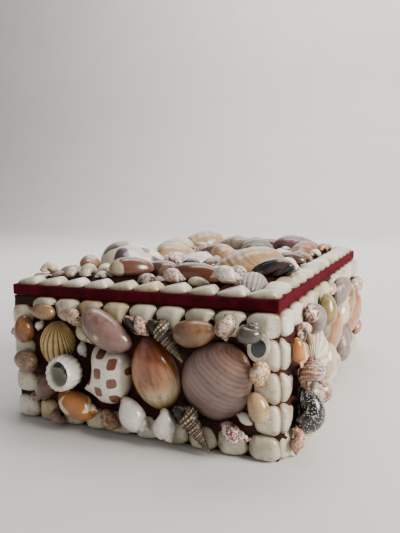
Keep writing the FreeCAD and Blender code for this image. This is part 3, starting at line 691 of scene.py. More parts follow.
# %% [markdown]
# ## Finishes for shell
# Sea shell is a hard, satin to glossy stone with growth lines that run parallel to its edge. All shell
# finishes share that ground: two colours from the mesh, a pattern that says where the second one
# shows, fine lines in growth, and a faint dirt in the low places. Only the pattern differs.


# %% The ground of every shell
def shell_finish(name, pattern, rough=0.34, coat=0.25, lines=46.0, depth=0.00014, dirt=0.35,
                 ink=0.45, sheen=0.22):
    """A shell whose second colour shows where the pattern says. Lines is how many growth lines there
    are, ink how dark they are, depth the relief in metres, and sheen how much the gloss varies."""
    finish = Finish(name, Coat_Weight=coat, Coat_Roughness=0.14, IOR=1.52)
    place = finish.place()
    growth = finish.axis(finish.grid(), 1)
    waver = finish.noise(place, 140.0, 2.0)
    across = finish.node("ShaderNodeCombineXYZ", None, {"X": growth * lines + waver * 2.0})
    line = finish.noise(across.outputs[0], 1.0, 4.0)
    cloud = finish.noise(place, 420.0, 4.0)
    grit = finish.noise(place, 1500.0, 3.0, 0.7)
    base = finish.mix(pattern(finish, place, growth), finish.tint("hue"), finish.tint("mark"))
    base = finish.mix(line.step(0.52, 0.70) * ink, base, colour("#b7a48c"), "MULTIPLY")
    base = finish.mix(cloud.step(0.50, 0.78) * dirt, base, colour("#7a6048"), "MULTIPLY")
    base = finish.mix(grit.step(0.50, 0.72) * (0.5 * dirt), base, colour("#94806a"), "MULTIPLY")
    finish.set("Base Color", base)
    finish.set("Roughness", line * sheen + (rough - sheen / 2))
    finish.bump(line * 0.55 + cloud * 0.25 + grit * 0.2, depth)
    return finish


# %% Patterns
# The spacing of the cone's squares across and up, in metres.
LATTICE = (0.0124, 0.0080)


def plain(finish, place, growth):
    """Soft clouds of the second colour."""
    return finish.noise(place, 90.0, 2.0).step(0.45, 0.75)


def netted(start):
    """A fine net of the second colour that leaves dots of the first; a small start leaves small dots."""
    def pattern(finish, place, growth):
        fleck = finish.cells(place, 1150.0).step(start, start + 0.2)
        return fleck * finish.noise(place, 420.0, 2.0).step(start, start + 0.26)
    return pattern


def blotched(scale):
    """A few dark patches with sharp edges; a larger scale makes smaller patches."""
    def pattern(finish, place, growth):
        return finish.noise(place, scale, 1.5, 0.4, 0.6).step(0.515, 0.54)
    return pattern


def rayed(finish, place, growth):
    """Streaks that run from beak to edge, darker towards the beak."""
    turn = finish.axis(finish.grid(), 0) * (2 * math.pi)
    east, north = (turn + math.pi / 2).sine() * 2.6, turn.sine() * 2.6
    spoke = finish.node("ShaderNodeCombineXYZ", None, {"X": east, "Y": north, "Z": growth * 1.4})
    streak = finish.noise(spoke.outputs[0], 2.4, 3.0)
    return streak.step(0.44, 0.66) * (1 - growth.step(0.55, 0.95)) * 0.8


def ringed(finish, place, growth):
    """Bands that follow the growth."""
    band = (growth * 130.0 + finish.noise(place, 70.0, 2.0) * 7.0).sine()
    broad = (growth * 34.0 + finish.noise(place, 50.0, 2.0) * 4.0).sine()
    return band.step(-0.2, 0.9) * 0.35 + broad.step(0.2, 0.9) * 0.35


def corded(finish, place, growth):
    """Pale beads on dark cords that wind with the tube."""
    net = finish.grid()
    cord = (finish.axis(net, 0) * (2 * math.pi * 9)).sine()
    bead = (growth * (2 * math.pi * 150)).sine()
    return cord.step(-0.3, 0.6) * bead.step(-0.9, 0.3) * finish.noise(place, 260.0).step(0.28, 0.60)


def striped(ribs):
    """Dark grooves between ribs that run from beak to edge; the map counts the same ribs as the form."""
    def pattern(finish, place, growth):
        turn = finish.axis(finish.grid(), 0) * (math.pi * ribs)
        return (turn.sine() ** 2).step(0.55, 0.98)
    return pattern


def squared(finish, place, growth):
    """Rounded squares on a slanted lattice whose rows and columns are LATTICE metres apart."""
    east, high = finish.axis(place, 0), finish.axis(place, 2)
    sway = finish.noise(place, 130.0, 1.0) * 0.0022
    one = (east + sway) * (1 / LATTICE[0]) - high * (1 / LATTICE[1]) + 0.12
    two = (east - sway) * (-1 / LATTICE[0]) - high * (1 / LATTICE[1]) + 0.30
    first, second = (value.maths("FRACT", value) - 0.5 for value in (one, two))
    aside = (first - second).maths("ABSOLUTE", first - second) * (0.0072 / 0.0022)
    above = (first + second).maths("ABSOLUTE", first + second) * (0.0045 / 0.0025)
    return 1 - (aside ** 3.4 + above ** 3.4).step(0.8, 1.25)


white = shell_finish("white_clam", plain, depth=0.0002, dirt=0.5, ink=0.9)
smooth = shell_finish("smooth_shell", plain, rough=0.26, coat=0.4, lines=22.0, depth=0.00003, dirt=0.55,
                      ink=0.05, sheen=0.06)
grown = shell_finish("grown_shell", ringed, rough=0.30, coat=0.3, lines=70.0, depth=0.00016, ink=0.35)
net = shell_finish("netted_shell", netted(0.30), rough=0.36)
flecked = shell_finish("flecked_shell", netted(0.14), rough=0.28, coat=0.5, dirt=0.1)
marbled, patched = (
    shell_finish(name, blotched(scale), rough=0.25, coat=0.5, lines=24.0, depth=0.00008, dirt=0.3)
    for name, scale in (("marbled_shell", 62.0), ("patched_shell", 92.0)))
rays = shell_finish("rayed_shell", rayed, rough=0.20, coat=0.6, lines=30.0, depth=0.00005, dirt=0.15)
rings = shell_finish("ringed_shell", ringed, rough=0.36, coat=0.15, lines=80.0)
beaded = shell_finish("beaded_shell", corded, rough=0.42, coat=0.1, dirt=0.5)
ribbed = {ribs: shell_finish("ribbed_shell_%d" % ribs, striped(ribs), rough=0.40, coat=0.1, dirt=0.4)
          for ribs in (17, 20, 34, 36)}
spotted = shell_finish("spotted_shell", squared, rough=0.22, coat=0.6, lines=16.0, depth=0.00006, dirt=0.15)
print("shell finishes ready")


# %% Give every seat of a node its shell
# The heap keeps the seats of each face for the glue. Then: how much of each channel the painted
# shade and grime take where a shell meets the glue, and how high they climb in metres; the growth at
# which the main colour is reached; how near a place has to be; the mouth angle that shows the mouth;
# how shells differ in brightness; where the growth lines of a wedge start.
HEAP = {face: [] for face in FACES}
GRIME_AND_SHADE = np.array([0.72, 0.80, 0.88, 0.0])
GRIME_AND_SHADE_DEPTH = 0.0014
ADULT = 0.42
NEAR = 0.09
SHOWN = 1.0
SHADES = (0.88, 1.04)
UMBO = (0.22, 0.35, 0.5)


def bands(second, *stops):
    """A look: the shares of the growth that have a colour, these colours, and the pattern's colour."""
    shares, codes = zip(*stops)
    return np.array(shares), np.array([colour(code) for code in codes]), colour(second)


def looks(given):
    """Looks from text. Each names its main colour, its pattern's colour and, if that differs, the
    colour at the beak or tip. Commas part the looks. A look that is made already stays as it is."""
    if not isinstance(given, str):
        return [given]
    found = []
    for look in given.split(", "):
        first, second, *tip = look.split()
        found.append(bands(second, (0.0, (tip or [first])[0]), (ADULT, first)))
    return found


def shells(node, finish, slot, make, palette, near=(), seed=1, inside="#2c1a16", paint=None):
    """One piece for a node. Each seat takes the look whose place (share across, share up) is nearest,
    if one is near enough, and otherwise a colour of the palette by chance. Painted shade and grime
    darken each shell where it meets the glue. Inside is the dark colour painted in an open mouth,
    painted shade of its depth. Paint may change a net's colours."""
    clay = Clay()
    rng = np.random.default_rng(seed)
    palette = looks(palette)
    placed = seats(node, make.solid)
    HEAP[node.split("_")[0]] += placed
    for seat in placed:
        row = min(near, key=lambda one: math.dist(one[:2], seat.share), default=None)
        if row and math.dist(row[:2], seat.share) <= NEAR:
            look, build = looks(row[2])[0], row[3]
        else:
            look, build = palette[rng.integers(len(palette))], make
        shares, stops, mark = look
        points = build(seat, rng)
        age = np.linspace(0, 1, len(points))
        hues = np.stack([np.interp(age, shares, channel) for channel in stops.T], axis=1)[:, None]
        # Painted shade and grime: each point darkens the closer it lies to the glue, where the shell meets
        # it.
        grime_shade_and_tone = 1 - GRIME_AND_SHADE * np.exp(-np.maximum(points[..., 2:], 0) / GRIME_AND_SHADE_DEPTH)
        grime_shade_and_tone = grime_shade_and_tone * rng.uniform(*SHADES) * np.ones(4)
        marks = np.broadcast_to(mark, points.shape[:2] + (4,)) * grime_shade_and_tone
        hues = hues * grime_shade_and_tone
        # An open mouth's last two rows take the inside colour: painted shade of the mouth's depth.
        if build.shown:
            hues[-2:] = marks[-2:] = colour(inside)
        if paint:
            paint(points, hues, marks)
        lines = None
        if make.solid == "wedge":
            umbo = np.array([UMBO[0] * seat.length, rng.uniform(*UMBO[1:]) * seat.width])
            lines = np.linalg.norm(points[..., :2] - umbo, axis=2) / seat.length
        clay.add(seat.put(points), hues, marks, age=lines)
    clay.piece(node + "_detail", finish, slot, node)


def form(maker, face_turn=None, **settings):
    """A form with its settings chosen, and its tip turned on the face if it is nearly round."""
    def made(seat, rng):
        return maker(seat if face_turn is None else seat.turn(face_turn), rng, **settings)
    made.solid = {valve: "valve", wedge: "wedge"}.get(maker, "round")
    made.shown = settings.get("mouth") == SHOWN
    return made


WHITES = ("#e2d9c2 #bfac82, #e6dfce #cbb996, #d8d1b8 #b3a47c, #dccba6 #b49a68, #dad4c0 #b2a682, "
          "#e8dfd0 #c8b290")
LYING = form(wedge, rise=(0.34, 0.5), fold=(0.45, 0.6), drop=(0.5, 0.7), mirror=True)
STANDING = form(wedge)
for number, face in enumerate(FACES):
    shells(face + "_border_clams", white, "white_clam", LYING if face == "lid" else STANDING, WHITES,
           seed=number)

# %% [markdown]
# ## The front
# The front is the face that a viewer studies, so each large shell there gets its own form: a golden
# cockle with deep ribs, a mauve cowrie with a rough scar where it was once glued, a white shell with
# red-brown squares, a glossy clam with brown rays, and a broad clam with fine rings.

# %% Large shells of the front
# The scar's place and half size on the cowrie, and its relief, in metres.
SCAR_PLACE, SCAR_SIZE, SCAR_DEPTH = np.array([0.0, -0.0018]), np.array([0.0022, 0.0018]), 0.0003


def scar(points, hues, marks):
    """The spot where the cowrie was once glued down: a rough gold ring with a pale middle."""
    reach = np.linalg.norm((points[..., :2] - SCAR_PLACE) / SCAR_SIZE, axis=2)
    spot = (reach < 1) & (points[..., 2] > points[..., 2].max() / 2)
    for layer in (hues, marks):
        layer[spot] = colour("#a08454")
        layer[spot & (reach < 0.5)] = colour("#cfc2a4")
    points[..., 2] += SCAR_DEPTH * np.where(spot, np.cos(7 * reach), 0)


COWRIE = form(egg, rows=30, columns=40, taper=0.2, bend=0.04)
shells("front_mauve_cowrie", smooth, "mauve_shell",
       form(egg, rows=48, columns=64, taper=0.22, bend=0.10, full=2.15), "#80625a #6c4e46 #8e6c60",
       paint=scar)
shells("front_golden_cockle", ribbed[34], "gold_shell",
       form(valve, rows=72, columns=306, ribs=34, rib=0.022, rings=14, ring=0.004, taper=0.3),
       "#d8b66e #64421e #a87c40")
shells("front_ringed_clam", rings, "mauve_shell",
       form(valve, rows=150, columns=96, rings=31, ring=0.0019, taper=0.14, beak=22, twist=-0.15),
       bands("#6c564a", (0.0, "#cfa67a"), (0.12, "#b8846c"), (0.35, "#a48278"), (0.6, "#967e76"),
             (0.85, "#8c746c"), (0.97, "#54424a")))
shells("front_rayed_clam", rays, "brown_shell",
       form(valve, rows=60, columns=72, rings=5, ring=0.002, taper=0.42, beak=22),
       bands("#5a2416", (0.0, "#4a2018"), (0.25, "#7c3a22"), (0.48, "#b06a38"), (0.62, "#c08a58"),
             (0.73, "#dfcca6"), (0.86, "#c8a070"), (0.95, "#5e3220")))
OUTLINE = np.array([(10.4, 1.5), (10.0, 8.0), (6.0, 12.2), (0.0, 13.0), (-6.4, 13.2), (-7.2, 7.0),
                    (-8.2, 1.0), (-11.0, -4.5), (-12.5, -7.5), (-7.0, -10.0), (-1.5, -13.0),
                    (5.5, -11.5), (9.5, -5.0)]) / 28
shells("front_spotted_cone", spotted, "spotted_shell", form(pebble, outline=OUTLINE, height=0.78),
       "#e4dccb #74402f")

# %% Wound shells of the front
# Where the shade starts along the rows, and how far it reaches across in metres.
SHADE_START, SHADE_SIDE = 0.68, 0.0008


def hollow(points, hues, marks):
    """The moon shell's mouth: cream, with slate depths away from the light."""
    row = np.arange(len(points))[:, None] / len(points)
    inside = row >= CUP_RIM
    shade = (row > SHADE_START) & (points[..., 1] < SHADE_SIDE)
    for layer in (hues, marks):
        layer[shade] = colour("#39434e")
        layer[inside & ~shade] = colour("#c4bda8")


TALL = form(snail, whorls=9.0, growth=1.30, drop=0.135, steps=30, columns=56, cords=9, cord=0.08, beads=14,
            bead=0.035, mouth=SHOWN)
shells("front_horn_shells", beaded, "dark_shell", TALL, "#3a2f26 #c2a880 #6a5444", inside="#14100e")
shells("front_moon_shell", smooth, "cream_shell", form(cup, face_turn=135), "#e4e0d4 #cfcbb9",
       paint=hollow)
shells("front_turban", smooth, "grey_shell",
       form(snail, face_turn=70, whorls=3.4, growth=2.0, drop=0.35, steps=30, columns=40, mouth=SHOWN,
            lip=0.06, wall=0.7, plug=True),
       bands("#3c352f", (0.0, "#8a8377"), (0.5, "#5a5348"), (0.88, "#4c463e"), (0.93, "#d8ceb8")),
       inside="#1e2424")
shells("front_dark_snail", smooth, "brown_shell",
       form(snail, whorls=3.5, growth=2.2, drop=0.38, steps=30, columns=40), "#6a4630 #3c2a2e #33242a")
shells("front_orange_whelk", patched, "orange_shell",
       form(snail, whorls=3.4, growth=2.6, drop=0.42, steps=30, columns=40, lip=0.02),
       "#a86a36 #dccbaa #a07e70")

# %% Small shells of the front
COIL = form(snail, whorls=3.6, growth=2.0, drop=0.35)
OPEN = form(snail, whorls=3.6, growth=2.0, drop=0.36, mouth=SHOWN)
LONG = form(snail, whorls=5.0, growth=1.7, drop=0.28, beads=9, bead=0.03)
BEAN = form(egg, taper=0.28, bend=0.04)
PALE_END = bands("#6a4630", (0.0, "#6a4830"), (0.5, "#805c3e"), (0.8, "#926e4c"), (1.0, "#c4a67c"))
shells("front_cowries", smooth, "tan_shell", BEAN, "#a47a52 #80583a",
       near=[(0.17, 0.905, "#94754f #705438", BEAN), (0.085, 0.755, "#8c5832 #6a3e22 #a88464", BEAN),
             (0.742, 0.84, PALE_END, COWRIE), (0.945, 0.395, "#b8966c #9c7850 #d0b48c", BEAN)])
shells("front_pearl_snails", smooth, "pearl_shell", COIL, "#e8e2d8 #d0c6b8, #e4dcd8 #cdbfba",
       near=[(0.337, 0.735, "#cfcaa9 #a8a37c", LONG)])
shells("front_small_snails", net, "speckled_shell", COIL,
       "#d8c8b4 #5c3a32, #8a5a48 #d0bca8, #b08c68 #6a4630",
       near=[(0.842, 0.855, "#8c5a4c #d8c4b4", COIL), (0.542, 0.855, "#884c3a #dcc8b4", OPEN),
             (0.295, 0.885, "#8c5a44 #d0b89c", LONG), (0.082, 0.495, "#9c8068 #7c5c44", BEAN),
             (0.938, 0.64, "#ead8b8 #b87c40 #c89058", COIL), (0.872, 0.185, "#f0e6dc #84362c", LONG),
             (0.212, 0.095, "#9a7c6a #7a5c4c", COIL)])

# %% [markdown]
# ## The right side
# This side is seen at a slant, so a few bold shells near the front matter most: a scallop, a white
# cockle, a black nerite with white flecks, and warm clams that fade away towards the back.

# %% Shells of the right side
FAN = form(valve, rows=40, columns=160, ribs=20, rib=0.03, rings=6, ring=0.004, taper=0.3)
FINE = form(valve, rows=48, columns=80, rings=11, ring=0.006, taper=0.34, beak=24, twist=0.2)
shells("right_white_cockle", ribbed[17], "cream_shell",
       form(valve, rows=48, columns=176, ribs=17, rib=0.022, rings=8, ring=0.004, taper=0.25),
       "#ece2cf #c8b294 #e2d0b4")
shells("right_scallop", ribbed[20], "orange_shell", FAN, "#c88450 #ecd6bc #b46c3e")
shells("right_warm_clams", rays, "orange_shell", FINE, "#b8845a #94583a #8c5030, #a88460 #744c34 #684028")
shells("right_grey_clams", rings, "grey_shell", FINE, "#8f8078 #6a5a55 #a08c84, #9c8a7c #74625a",
       near=[(0.165, 0.26, "#4c4844 #33302e", FINE)])
shells("right_speckled_nerite", flecked, "dark_shell",
       form(snail, whorls=2.6, growth=2.8, drop=0.43, steps=30, columns=40), "#d8d4cc #0f0f11")
shells("right_top_shell", beaded, "brown_shell",
       form(snail, whorls=4.5, growth=1.7, drop=0.27, steps=30, columns=40, cords=6, cord=0.06, beads=14,
            bead=0.04, mouth=SHOWN), "#7c5038 #e0d0b8", inside="#1c110c")
shells("right_cowries", smooth, "tan_shell", BEAN, "#c8a888 #a88464, #b98c68 #94684a, #d8c4a8 #b89c7c",
       near=[(0.055, 0.675, "#c07c34 #a05c20", BEAN), (0.315, 0.835, "#a8965c #847240", BEAN)])
shells("right_small_snails", net, "speckled_shell", COIL,
       "#a87460 #e0ccb8, #dccbb4 #8a5a48, #8a6a5c #d0bca8",
       near=[(0.098, 0.865, "#8a4a38 #e8d8c4", OPEN), (0.17, 0.855, "#efe4d8 #7a2c28", COIL),
             (0.185, 0.475, "#7c5c74 #e0d4cc", LONG), (0.048, 0.145, "#a05a44 #d8b498", LONG),
             (0.112, 0.11, "#e8dcc4 #c8b088", COIL)])

# %% [markdown]
# ## The lid
# The lid's shells stand against the light, so their outlines count: a tall blotched shell at the left,
# a broad tan clam at the right, low wedges along the ribbon and many small snails between.

# %% Shells of the lid
DOME = form(valve, rows=48, columns=64, rings=9, ring=0.007, taper=0.40, beak=24, twist=0.22)
shells("lid_blotched_helmet", marbled, "spotted_shell",
       form(valve, rows=60, columns=72, rings=4, ring=0.003, taper=0.3, beak=40, grow=1.25),
       bands("#44282e", (0.0, "#c08a64"), (0.25, "#d0ab84"), (0.45, "#d8d0b4"), (1.0, "#d2c8a8")))
shells("lid_tan_clam", grown, "tan_shell",
       form(valve, rows=72, columns=96, rings=13, ring=0.005, taper=0.3, beak=24, twist=0.2),
       "#b8946c #98754e #a87c50")
shells("lid_domed_clams", grown, "tan_shell", DOME,
       "#b89a74 #927652, #5e5a44 #46442e, #8a5638 #6a3e26, #a08c76 #7c6654, #745054 #583a3e",
       near=[(0.2, 0.64, "#c8b694 #a8946e", DOME), (0.62, 0.69, "#565638 #42442a", DOME),
             (0.86, 0.7, "#965c3a #744426", DOME), (0.53, 0.55, "#b8906c #966e4a", DOME)])
shells("lid_pale_clams", white, "cream_shell",
       form(valve, rows=30, columns=44, rings=6, ring=0.008, taper=0.4, twist=0.2),
       "#dcd6c4 #c0b496, #cfc8b0 #b0a482, #e0d8cc #c8b8a4, #c8b49c #a89078",
       near=[(0.12, 0.13, "#a88c7c #8a6c60", FINE)])
shells("lid_brown_cowries", patched, "brown_shell", BEAN,
       "#84502f #64381f, #9a744e #7a5434, #7c5e4e #5c4036",
       near=[(0.655, 0.135, "#7c4426 #5c2e18 #a07048", COWRIE),
             (0.41, 0.11, "#d4c6a8 #6a4434 #84583e", COWRIE)])
shells("lid_ribbed_clam", ribbed[36], "grey_shell",
       form(valve, rows=36, columns=216, ribs=36, rib=0.012, rings=8, ring=0.004), "#a89a92 #7c6c66")
shells("lid_broken_mussel", smooth, "dark_shell",
       form(valve, rows=36, columns=96, ragged=0.7, taper=0.1, rings=6, ring=0.006, beak=50),
       "#1e1c1c #5c4038 #141416")
shells("lid_netted_snails", net, "speckled_shell", COIL,
       "#ddd0c2 #6c403a, #94685a #dccdbe, #b8987a #684434", near=[(0.8, 0.07, "#c0a494 #ece2d8", COIL)])
shells("lid_small_snails", smooth, "cream_shell", COIL,
       "#e6e0d2 #cbbfa6, #dccdb8 #b89c7c, #b8906c #8c6444, #cfc6b4 #a89a80",
       near=[(0.53, 0.285, "#3c4038 #262a26", COIL)])

# %% [markdown]
# ## The back and the left side
# These sides follow the same plan with the same kinds of shell, in quieter colours.

# %% Shells of the back and the left side
for number, face in enumerate(("left", "back")):
    shells(face + "_clams", rings, "brown_shell", FINE, "#b08c70 #84604a, #c8a480 #9a7454",
           seed=20 + number)
    shells(face + "_cockles", ribbed[20], "gold_shell", FAN, "#c8aa80 #8a6a44", seed=22 + number)
    shells(face + "_cowries", smooth, "tan_shell", BEAN,
           "#b98c68 #94684a, #d0b894 #b0946c, #8f6c5c #6c4c40, #a8837e #8f6e6d", seed=24 + number)
    shells(face + "_snails", net, "speckled_shell", COIL,
           "#e6dccf #8a4a44, #a8786a #ecdfd2, #e4ddd0 #cabda5", seed=26 + number)

# %% [markdown]
# ## The glue between the shells
# The shells were pressed into a bed of dark red glue, which shows in every gap and climbs a little up
# the shells; its colour is darkened nearly to black as painted shade of the gaps. The bed is worked
# out from the solids: points scattered over them say how high each shell starts and ends above the
# wall, and the glue fills the space below.

# %% Glue bed
# Lengths are in metres: the grid's squares, the depth below the wall's face, the fillet's height, the
# random unevenness, the distance kept below shells, and the width over which the bed thins out at the
# edges. Scatter is points per square metre.
PITCH = 0.0015
SKIN = 0.0003
SCATTER = 2e6
FILL = 0.8
FILLET = 0.0006
ROUGH = 0.0003
BELOW = 0.0008
EDGE = 0.004
OPEN_SKY = 1.0
GLUE_SEED = 40


def soften(values, times=3):
    """Average with the neighbours along both directions, several times."""
    for _ in range(times):
        wide = np.pad(values, 1, mode="edge")
        values = (wide[:-2, 1:-1] + 2 * wide[1:-1, 1:-1] + wide[2:, 1:-1]) / 4
        wide = np.pad(values, 1, mode="edge")
        values = (wide[1:-1, :-2] + 2 * wide[1:-1, 1:-1] + wide[1:-1, 2:]) / 4
    return values


def slab(top, bottom):
    """Two nets of equal size, one over the other, closed round their edge. The first and last rows are
    single points in the middle of the slab's ends."""
    loops = np.concatenate((top, bottom[:, ::-1]), axis=1)
    first, last = (np.broadcast_to(loop.mean(axis=0), loops[:1].shape) for loop in (loops[0], loops[-1]))
    return np.concatenate((first, loops, last))


def glue(clay, face, node, seed):
    """The bed on one face. In each square of a grid, base is the highest start of a shell and room the
    height of the lowest one. The bed is FILL of the blurred base plus a fillet that grows with the share
    of squares covered nearby, kept below the room and brought down along the face's edges."""
    rng = np.random.default_rng(seed)
    ends = np.sort(np.array(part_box(node)) @ np.stack(FACES[face]).T, axis=0)
    if face in ("front", "right", "back"):
        ends[1, 1] = UNDER_LID - 2 * HAIR
    size = ends[1, :2] - ends[0, :2]
    count = np.round(size / PITCH).astype(int) + 1
    base, room = np.zeros(count), np.full(count, OPEN_SKY)
    for seat in HEAP[face]:
        number = int(seat.area.sum() * SCATTER) + 40
        pick = rng.choice(len(seat.area), number, p=seat.area / seat.area.sum())
        cut = np.sort(rng.random((number, 2)), axis=1)
        weight = np.stack((cut[:, 0], cut[:, 1] - cut[:, 0], 1 - cut[:, 1]), axis=1)
        point = (seat.corners[pick] * weight[..., None]).sum(axis=1)
        square = np.round((point[:, :2] - ends[0, :2]) / size * (count - 1)).astype(int)
        square = tuple(np.clip(square, 0, count - 1).T)
        own = np.zeros(count)
        np.maximum.at(own, square, point[:, 2] - ends[1, 2])
        np.maximum.at(base, square, seat.base - ends[1, 2])
        room = np.where(own > 0, np.minimum(room, own), room)
    thick = FILL * soften(base) + FILLET * soften(1.0 * (room < OPEN_SKY))
    thick = np.minimum(thick + ROUGH * soften(rng.random(count), 1), room - BELOW)
    line = [np.linspace(0, 1, number) for number in count]
    rim = [np.minimum(share, 1 - share) * length / EDGE for share, length in zip(line, size)]
    thick = np.maximum(thick, 0) * np.clip(np.minimum(rim[0][:, None], rim[1][None]), 0, 1)
    plan = [ends[0, way] + share * size[way] for way, share in enumerate(line)]
    across, up = np.meshgrid(plan[0], plan[1], indexing="ij")
    nets = [np.stack((across, up, ends[1, 2] + depth), axis=2) @ np.stack(FACES[face])
            for depth in (thick, 0 * thick - SKIN)]
    # Dark red glue darkened nearly to black: painted shade in the gaps between shells.
    clay.add(slab(*nets), colour("#3c100e"), colour("#1c0806"))


# The glue's finish mixes those two colours: the glue's own dark red and painted shade of the gaps.
glue_and_shade = Finish("red_glue_and_painted_shade", Specular_IOR_Level=0.2)
blot = glue_and_shade.noise(glue_and_shade.place(), 110.0, 3.0)
glue_and_shade.set("Base Color", glue_and_shade.mix(blot.step(0.35, 0.65), glue_and_shade.tint("hue"), glue_and_shade.tint("mark")))
glue_and_shade.set("Roughness", blot * 0.3 + 0.5)
glue_and_shade.bump(glue_and_shade.noise(glue_and_shade.place(), 700.0, 3.0), 0.0003)
for node, faces in (("wall_covering", list(FACES)[:4]), ("lid_covering", ["lid"])):
    bed = Clay()
    for face in faces:
        glue(bed, face, node, GLUE_SEED + list(FACES).index(face))
    bed.piece(node.replace("covering", "glue_bed"), glue_and_shade, "paper", node)

# %% [markdown]
# ## The velvet ribbon
# A crimson velvet ribbon ten millimetres wide is folded double, fold down, and glued round the lid's
# edge. Velvet is dark where it is seen straight on and lighter at a slant, which is what the sheen
# does. It is cut out at the two hinges.

# %% Velvet ribbon
# The step between stations, the spare length beside a hinge leaf and the notch there are in metres.
# Ply, slit and round are shares of the band's thickness, of its height and of the corner's radius.
STEP = 0.001
PLY = 0.46
SLIT = 0.92
ROUND = 0.9
SPARE = 0.0002
NOTCH = 0.0010


def ribbon(node, board):
    """A folded section carried round the board. Each station has a foot on the board's edge and a face
    outside it; at the corners the foot stays and the face swings round a small arc. The section goes
    down the face, up the back, down into the slit between the two plies and up again. Its lower end is
    raised by a notch where a hinge leaf passes."""
    low, high = np.array(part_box(node))
    edge = np.array(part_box(board))[1, :2]
    thick = high[0] - edge[0]
    feet, faces = [], []
    signs = ((1, 1), (-1, 1), (-1, -1), (1, -1))
    for number, sign in enumerate(signs):
        corner, after = edge * sign, edge * signs[(number + 1) % 4]
        angle = np.radians(np.linspace(0, 90, 7) + 90 * number)
        arc = np.stack((np.cos(angle), np.sin(angle)), axis=1)
        feet.append(np.broadcast_to(corner, arc.shape))
        faces.append(corner + np.array(sign) * (1 - ROUND) * thick + arc * ROUND * thick)
        share = np.arange(1, int(np.linalg.norm(after - corner) / STEP))[:, None] * STEP
        along = corner + share * (after - corner) / np.linalg.norm(after - corner)
        feet.append(along)
        faces.append(along + arc[-1] * thick)
    feet, faces = np.concatenate(feet), np.concatenate(faces)
    reach = np.linspace(-1, 1, 9)
    face = [(1 - 0.05 * place ** 2 - 0.16 * abs(place) ** 7, 0.5 - 0.5 * place) for place in reach]
    section = face + [(0.6, 0.0), (0.02, 0.03), (0.02, 0.5), (0.02, 0.97), (0.1, 1.0), (PLY - 0.02, 0.98),
                      (PLY - 0.01, 0.5), (PLY, 1 - SLIT), (PLY + 0.03, 0.5), (PLY + 0.04, 0.98), (0.7, 1.0)]
    out, up = np.array(section).T
    bottom = np.full(len(feet), low[2])
    hinged = feet[:, 0] < SPARE - edge[0]
    for leaf in solids("lid_hinge_leaves"):
        near = (feet[:, 1] > leaf[..., 1].min() - SPARE) & (feet[:, 1] < leaf[..., 1].max() + SPARE)
        bottom[hinged & near] = low[2] + NOTCH
    plan = feet[:, None] * (1 - out[None, :, None]) + faces[:, None] * out[None, :, None]
    level = bottom[:, None] + (high[2] - bottom[:, None]) * up[None]
    return np.concatenate((plan, level[..., None]), axis=2)


velvet = Finish("crimson_velvet", Sheen_Weight=0.4, Sheen_Roughness=0.4, Sheen_Tint=colour("#a82040"),
                Specular_IOR_Level=0.1)
nap = velvet.noise(velvet.place(), 160.0, 3.0)
lint = velvet.noise(velvet.place(), 2600.0, 2.0).step(0.74, 0.78)
pile = velvet.mix(nap.step(0.35, 0.68), colour("#3a0410"), colour("#520818"))
velvet.set("Base Color", velvet.mix(lint * 0.5, pile, colour("#b89a94")))
velvet.set("Roughness", nap * 0.1 + 0.85)
velvet.bump(velvet.noise(velvet.place(), 2400.0, 3.0), 0.0004)
band_clay = Clay()
band_clay.add(ribbon("lid_edge_band", "lid_board"), colour("#5c0a18"), colour("#5c0a18"), ends="ring")
band = band_clay.piece("velvet_ribbon", velvet, "velvet", "lid_edge_band")

# %% [markdown]
# ## Inside the box
# The lining isn't seen while the lid is down. The floor and the lid have quilted pads and the walls
# have thin plain ones, all covered with a dark red satin that matches the ribbon.

# %% Padded linings
# The cell is in metres. Rim share is the thickness left at a pad's edge; the groove's depth and width
# are shares of the dome and of the wave between two grooves.
CELL = 0.0025
RIM_SHARE = 0.55
GROOVE = 0.4
GROOVE_WIDTH = 0.22


def cushion(low, high, facing, quilt=None):
    """A pad that fills a box and is soft on one side. Its thickness is a dome that falls at the edges,
    less a groove along two families of slanted lines, a quilt apart."""
    thin = int(np.argmax(np.abs(facing)))
    flat = [way for way in range(3) if way != thin]
    size = (high - low)[flat]
    count = np.maximum(np.round(size / CELL), 8).astype(int) + 1
    lines = [np.sin(np.linspace(-1, 1, number) * np.pi / 2) for number in count]
    across, up = np.meshgrid(*lines, indexing="ij")
    dome = RIM_SHARE + (1 - RIM_SHARE) * np.sqrt((1 - across ** 12) * (1 - up ** 12))
    if quilt:
        way = [across * size[0] / 2 / quilt, up * size[1] / 2 / quilt]
        lines = [np.abs(np.sin(np.pi * (way[0] + sign * way[1]))) for sign in (1, -1)]
        dome = dome * (1 - GROOVE * np.exp(-(np.minimum(*lines) / GROOVE_WIDTH) ** 2))
    nets = []
    for share in (dome, 0 * dome):
        points = np.empty(across.shape + (3,))
        points[..., flat[0]] = (low + high)[flat[0]] / 2 + across * size[0] / 2
        points[..., flat[1]] = (low + high)[flat[1]] / 2 + up * size[1] / 2
        back = (low if facing[thin] > 0 else high)[thin]
        points[..., thin] = back + facing[thin] * share * (high - low)[thin]
        nets.append(points)
    return slab(*nets)


satin = Finish("red_satin", Sheen_Weight=0.15, Sheen_Roughness=0.4)
weave = satin.noise(satin.place(), 3000.0, 2.0)
satin.set("Base Color", satin.mix(satin.noise(satin.place(), 30.0), colour("#4c0a16"), colour("#5e101e")))
satin.set("Roughness", weave * 0.2 + 0.4)
satin.bump(weave, 0.00008)


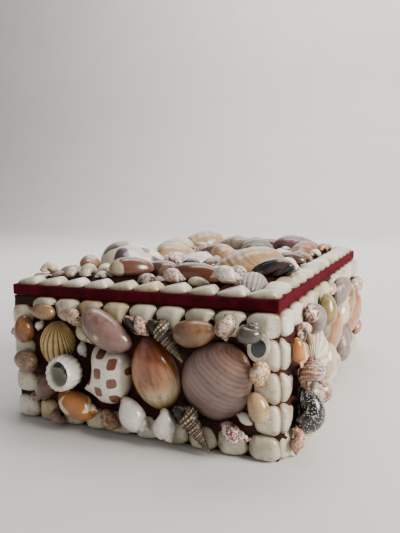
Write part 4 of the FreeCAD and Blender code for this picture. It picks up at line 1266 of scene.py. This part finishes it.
def wall_pads(node, thick):
    """The boxes of the four pads that stand round the inside, each with the way it faces. The two long
    pads fit between the two short ones."""
    low, high = np.array(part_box(node))
    found = []
    for way, inset in ((1, 0.0), (0, thick)):
        for sign in (-1, 1):
            start, end = low.copy(), high.copy()
            start[1 - way] += inset
            end[1 - way] -= inset
            if sign > 0:
                start[way] = high[way] - thick
            else:
                end[way] = low[way] + thick
            found.append((start, end, -sign * np.eye(3)[way]))
    return found


LINING = 0.001
QUILT = 0.022
pads = {"floor_lining": [(*np.array(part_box("floor_lining")), Z)],
        "lid_lining": [(*np.array(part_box("lid_lining")), -Z)],
        "side_lining": wall_pads("side_lining", LINING)}
for node, found in pads.items():
    clay = Clay()
    quilt = QUILT if len(found) == 1 else None
    for start, end, way in found:
        clay.add(cushion(start, end, way, quilt), colour("#701420"), colour("#701420"))
    pad = clay.piece(node + "_pad", satin, "lining", node)

# %% [markdown]
# ## Wood and brass
# The box and the lid board are thin light wood, seen at the rims when the lid is up. The two hinges
# are small brass ones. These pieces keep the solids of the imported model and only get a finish.

# %% Wood and brass
wood = Finish("light_wood", Coat_Weight=0.1)
grain = wood.noise(wood.place((1.0, 0.06, 1.0)), 900.0, 4.0, 0.6, 0.4)
ring = wood.noise(wood.place((1.0, 0.05, 1.0)), 90.0, 2.0, 0.5, 1.2)
wood.set("Base Color", wood.mix(grain * 0.5 + ring * 0.5, colour("#6e4c2c"), colour("#a07c50")))
wood.set("Roughness", grain * 0.2 + 0.5)
wood.bump(grain, 0.0001)
brass = Finish("brass", Metallic=1.0)
wear = brass.noise(brass.place(), 500.0, 3.0)
brass.set("Base Color", brass.mix(wear.step(0.4, 0.7), colour("#c2a05a"), colour("#8f6f38")))
brass.set("Roughness", wear * 0.3 + 0.2)
brass.bump(wear, 0.00004)
for finish, slot, names in (
        (wood, "wood", ("base_board", "front_wall", "back_wall", "left_wall", "right_wall", "lid_board")),
        (brass, "brass", ("box_hinge_leaves", "lid_hinge_leaves", "hinge_pins", "box_hinge_screws",
                          "lid_hinge_screws"))):
    for name in names:
        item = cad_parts[name]
        item.data.materials.clear()
        item.data.materials.append(finish.material)
print("wood and brass done")

# %% [markdown]
# ## The end

# %% The end
print("the end")
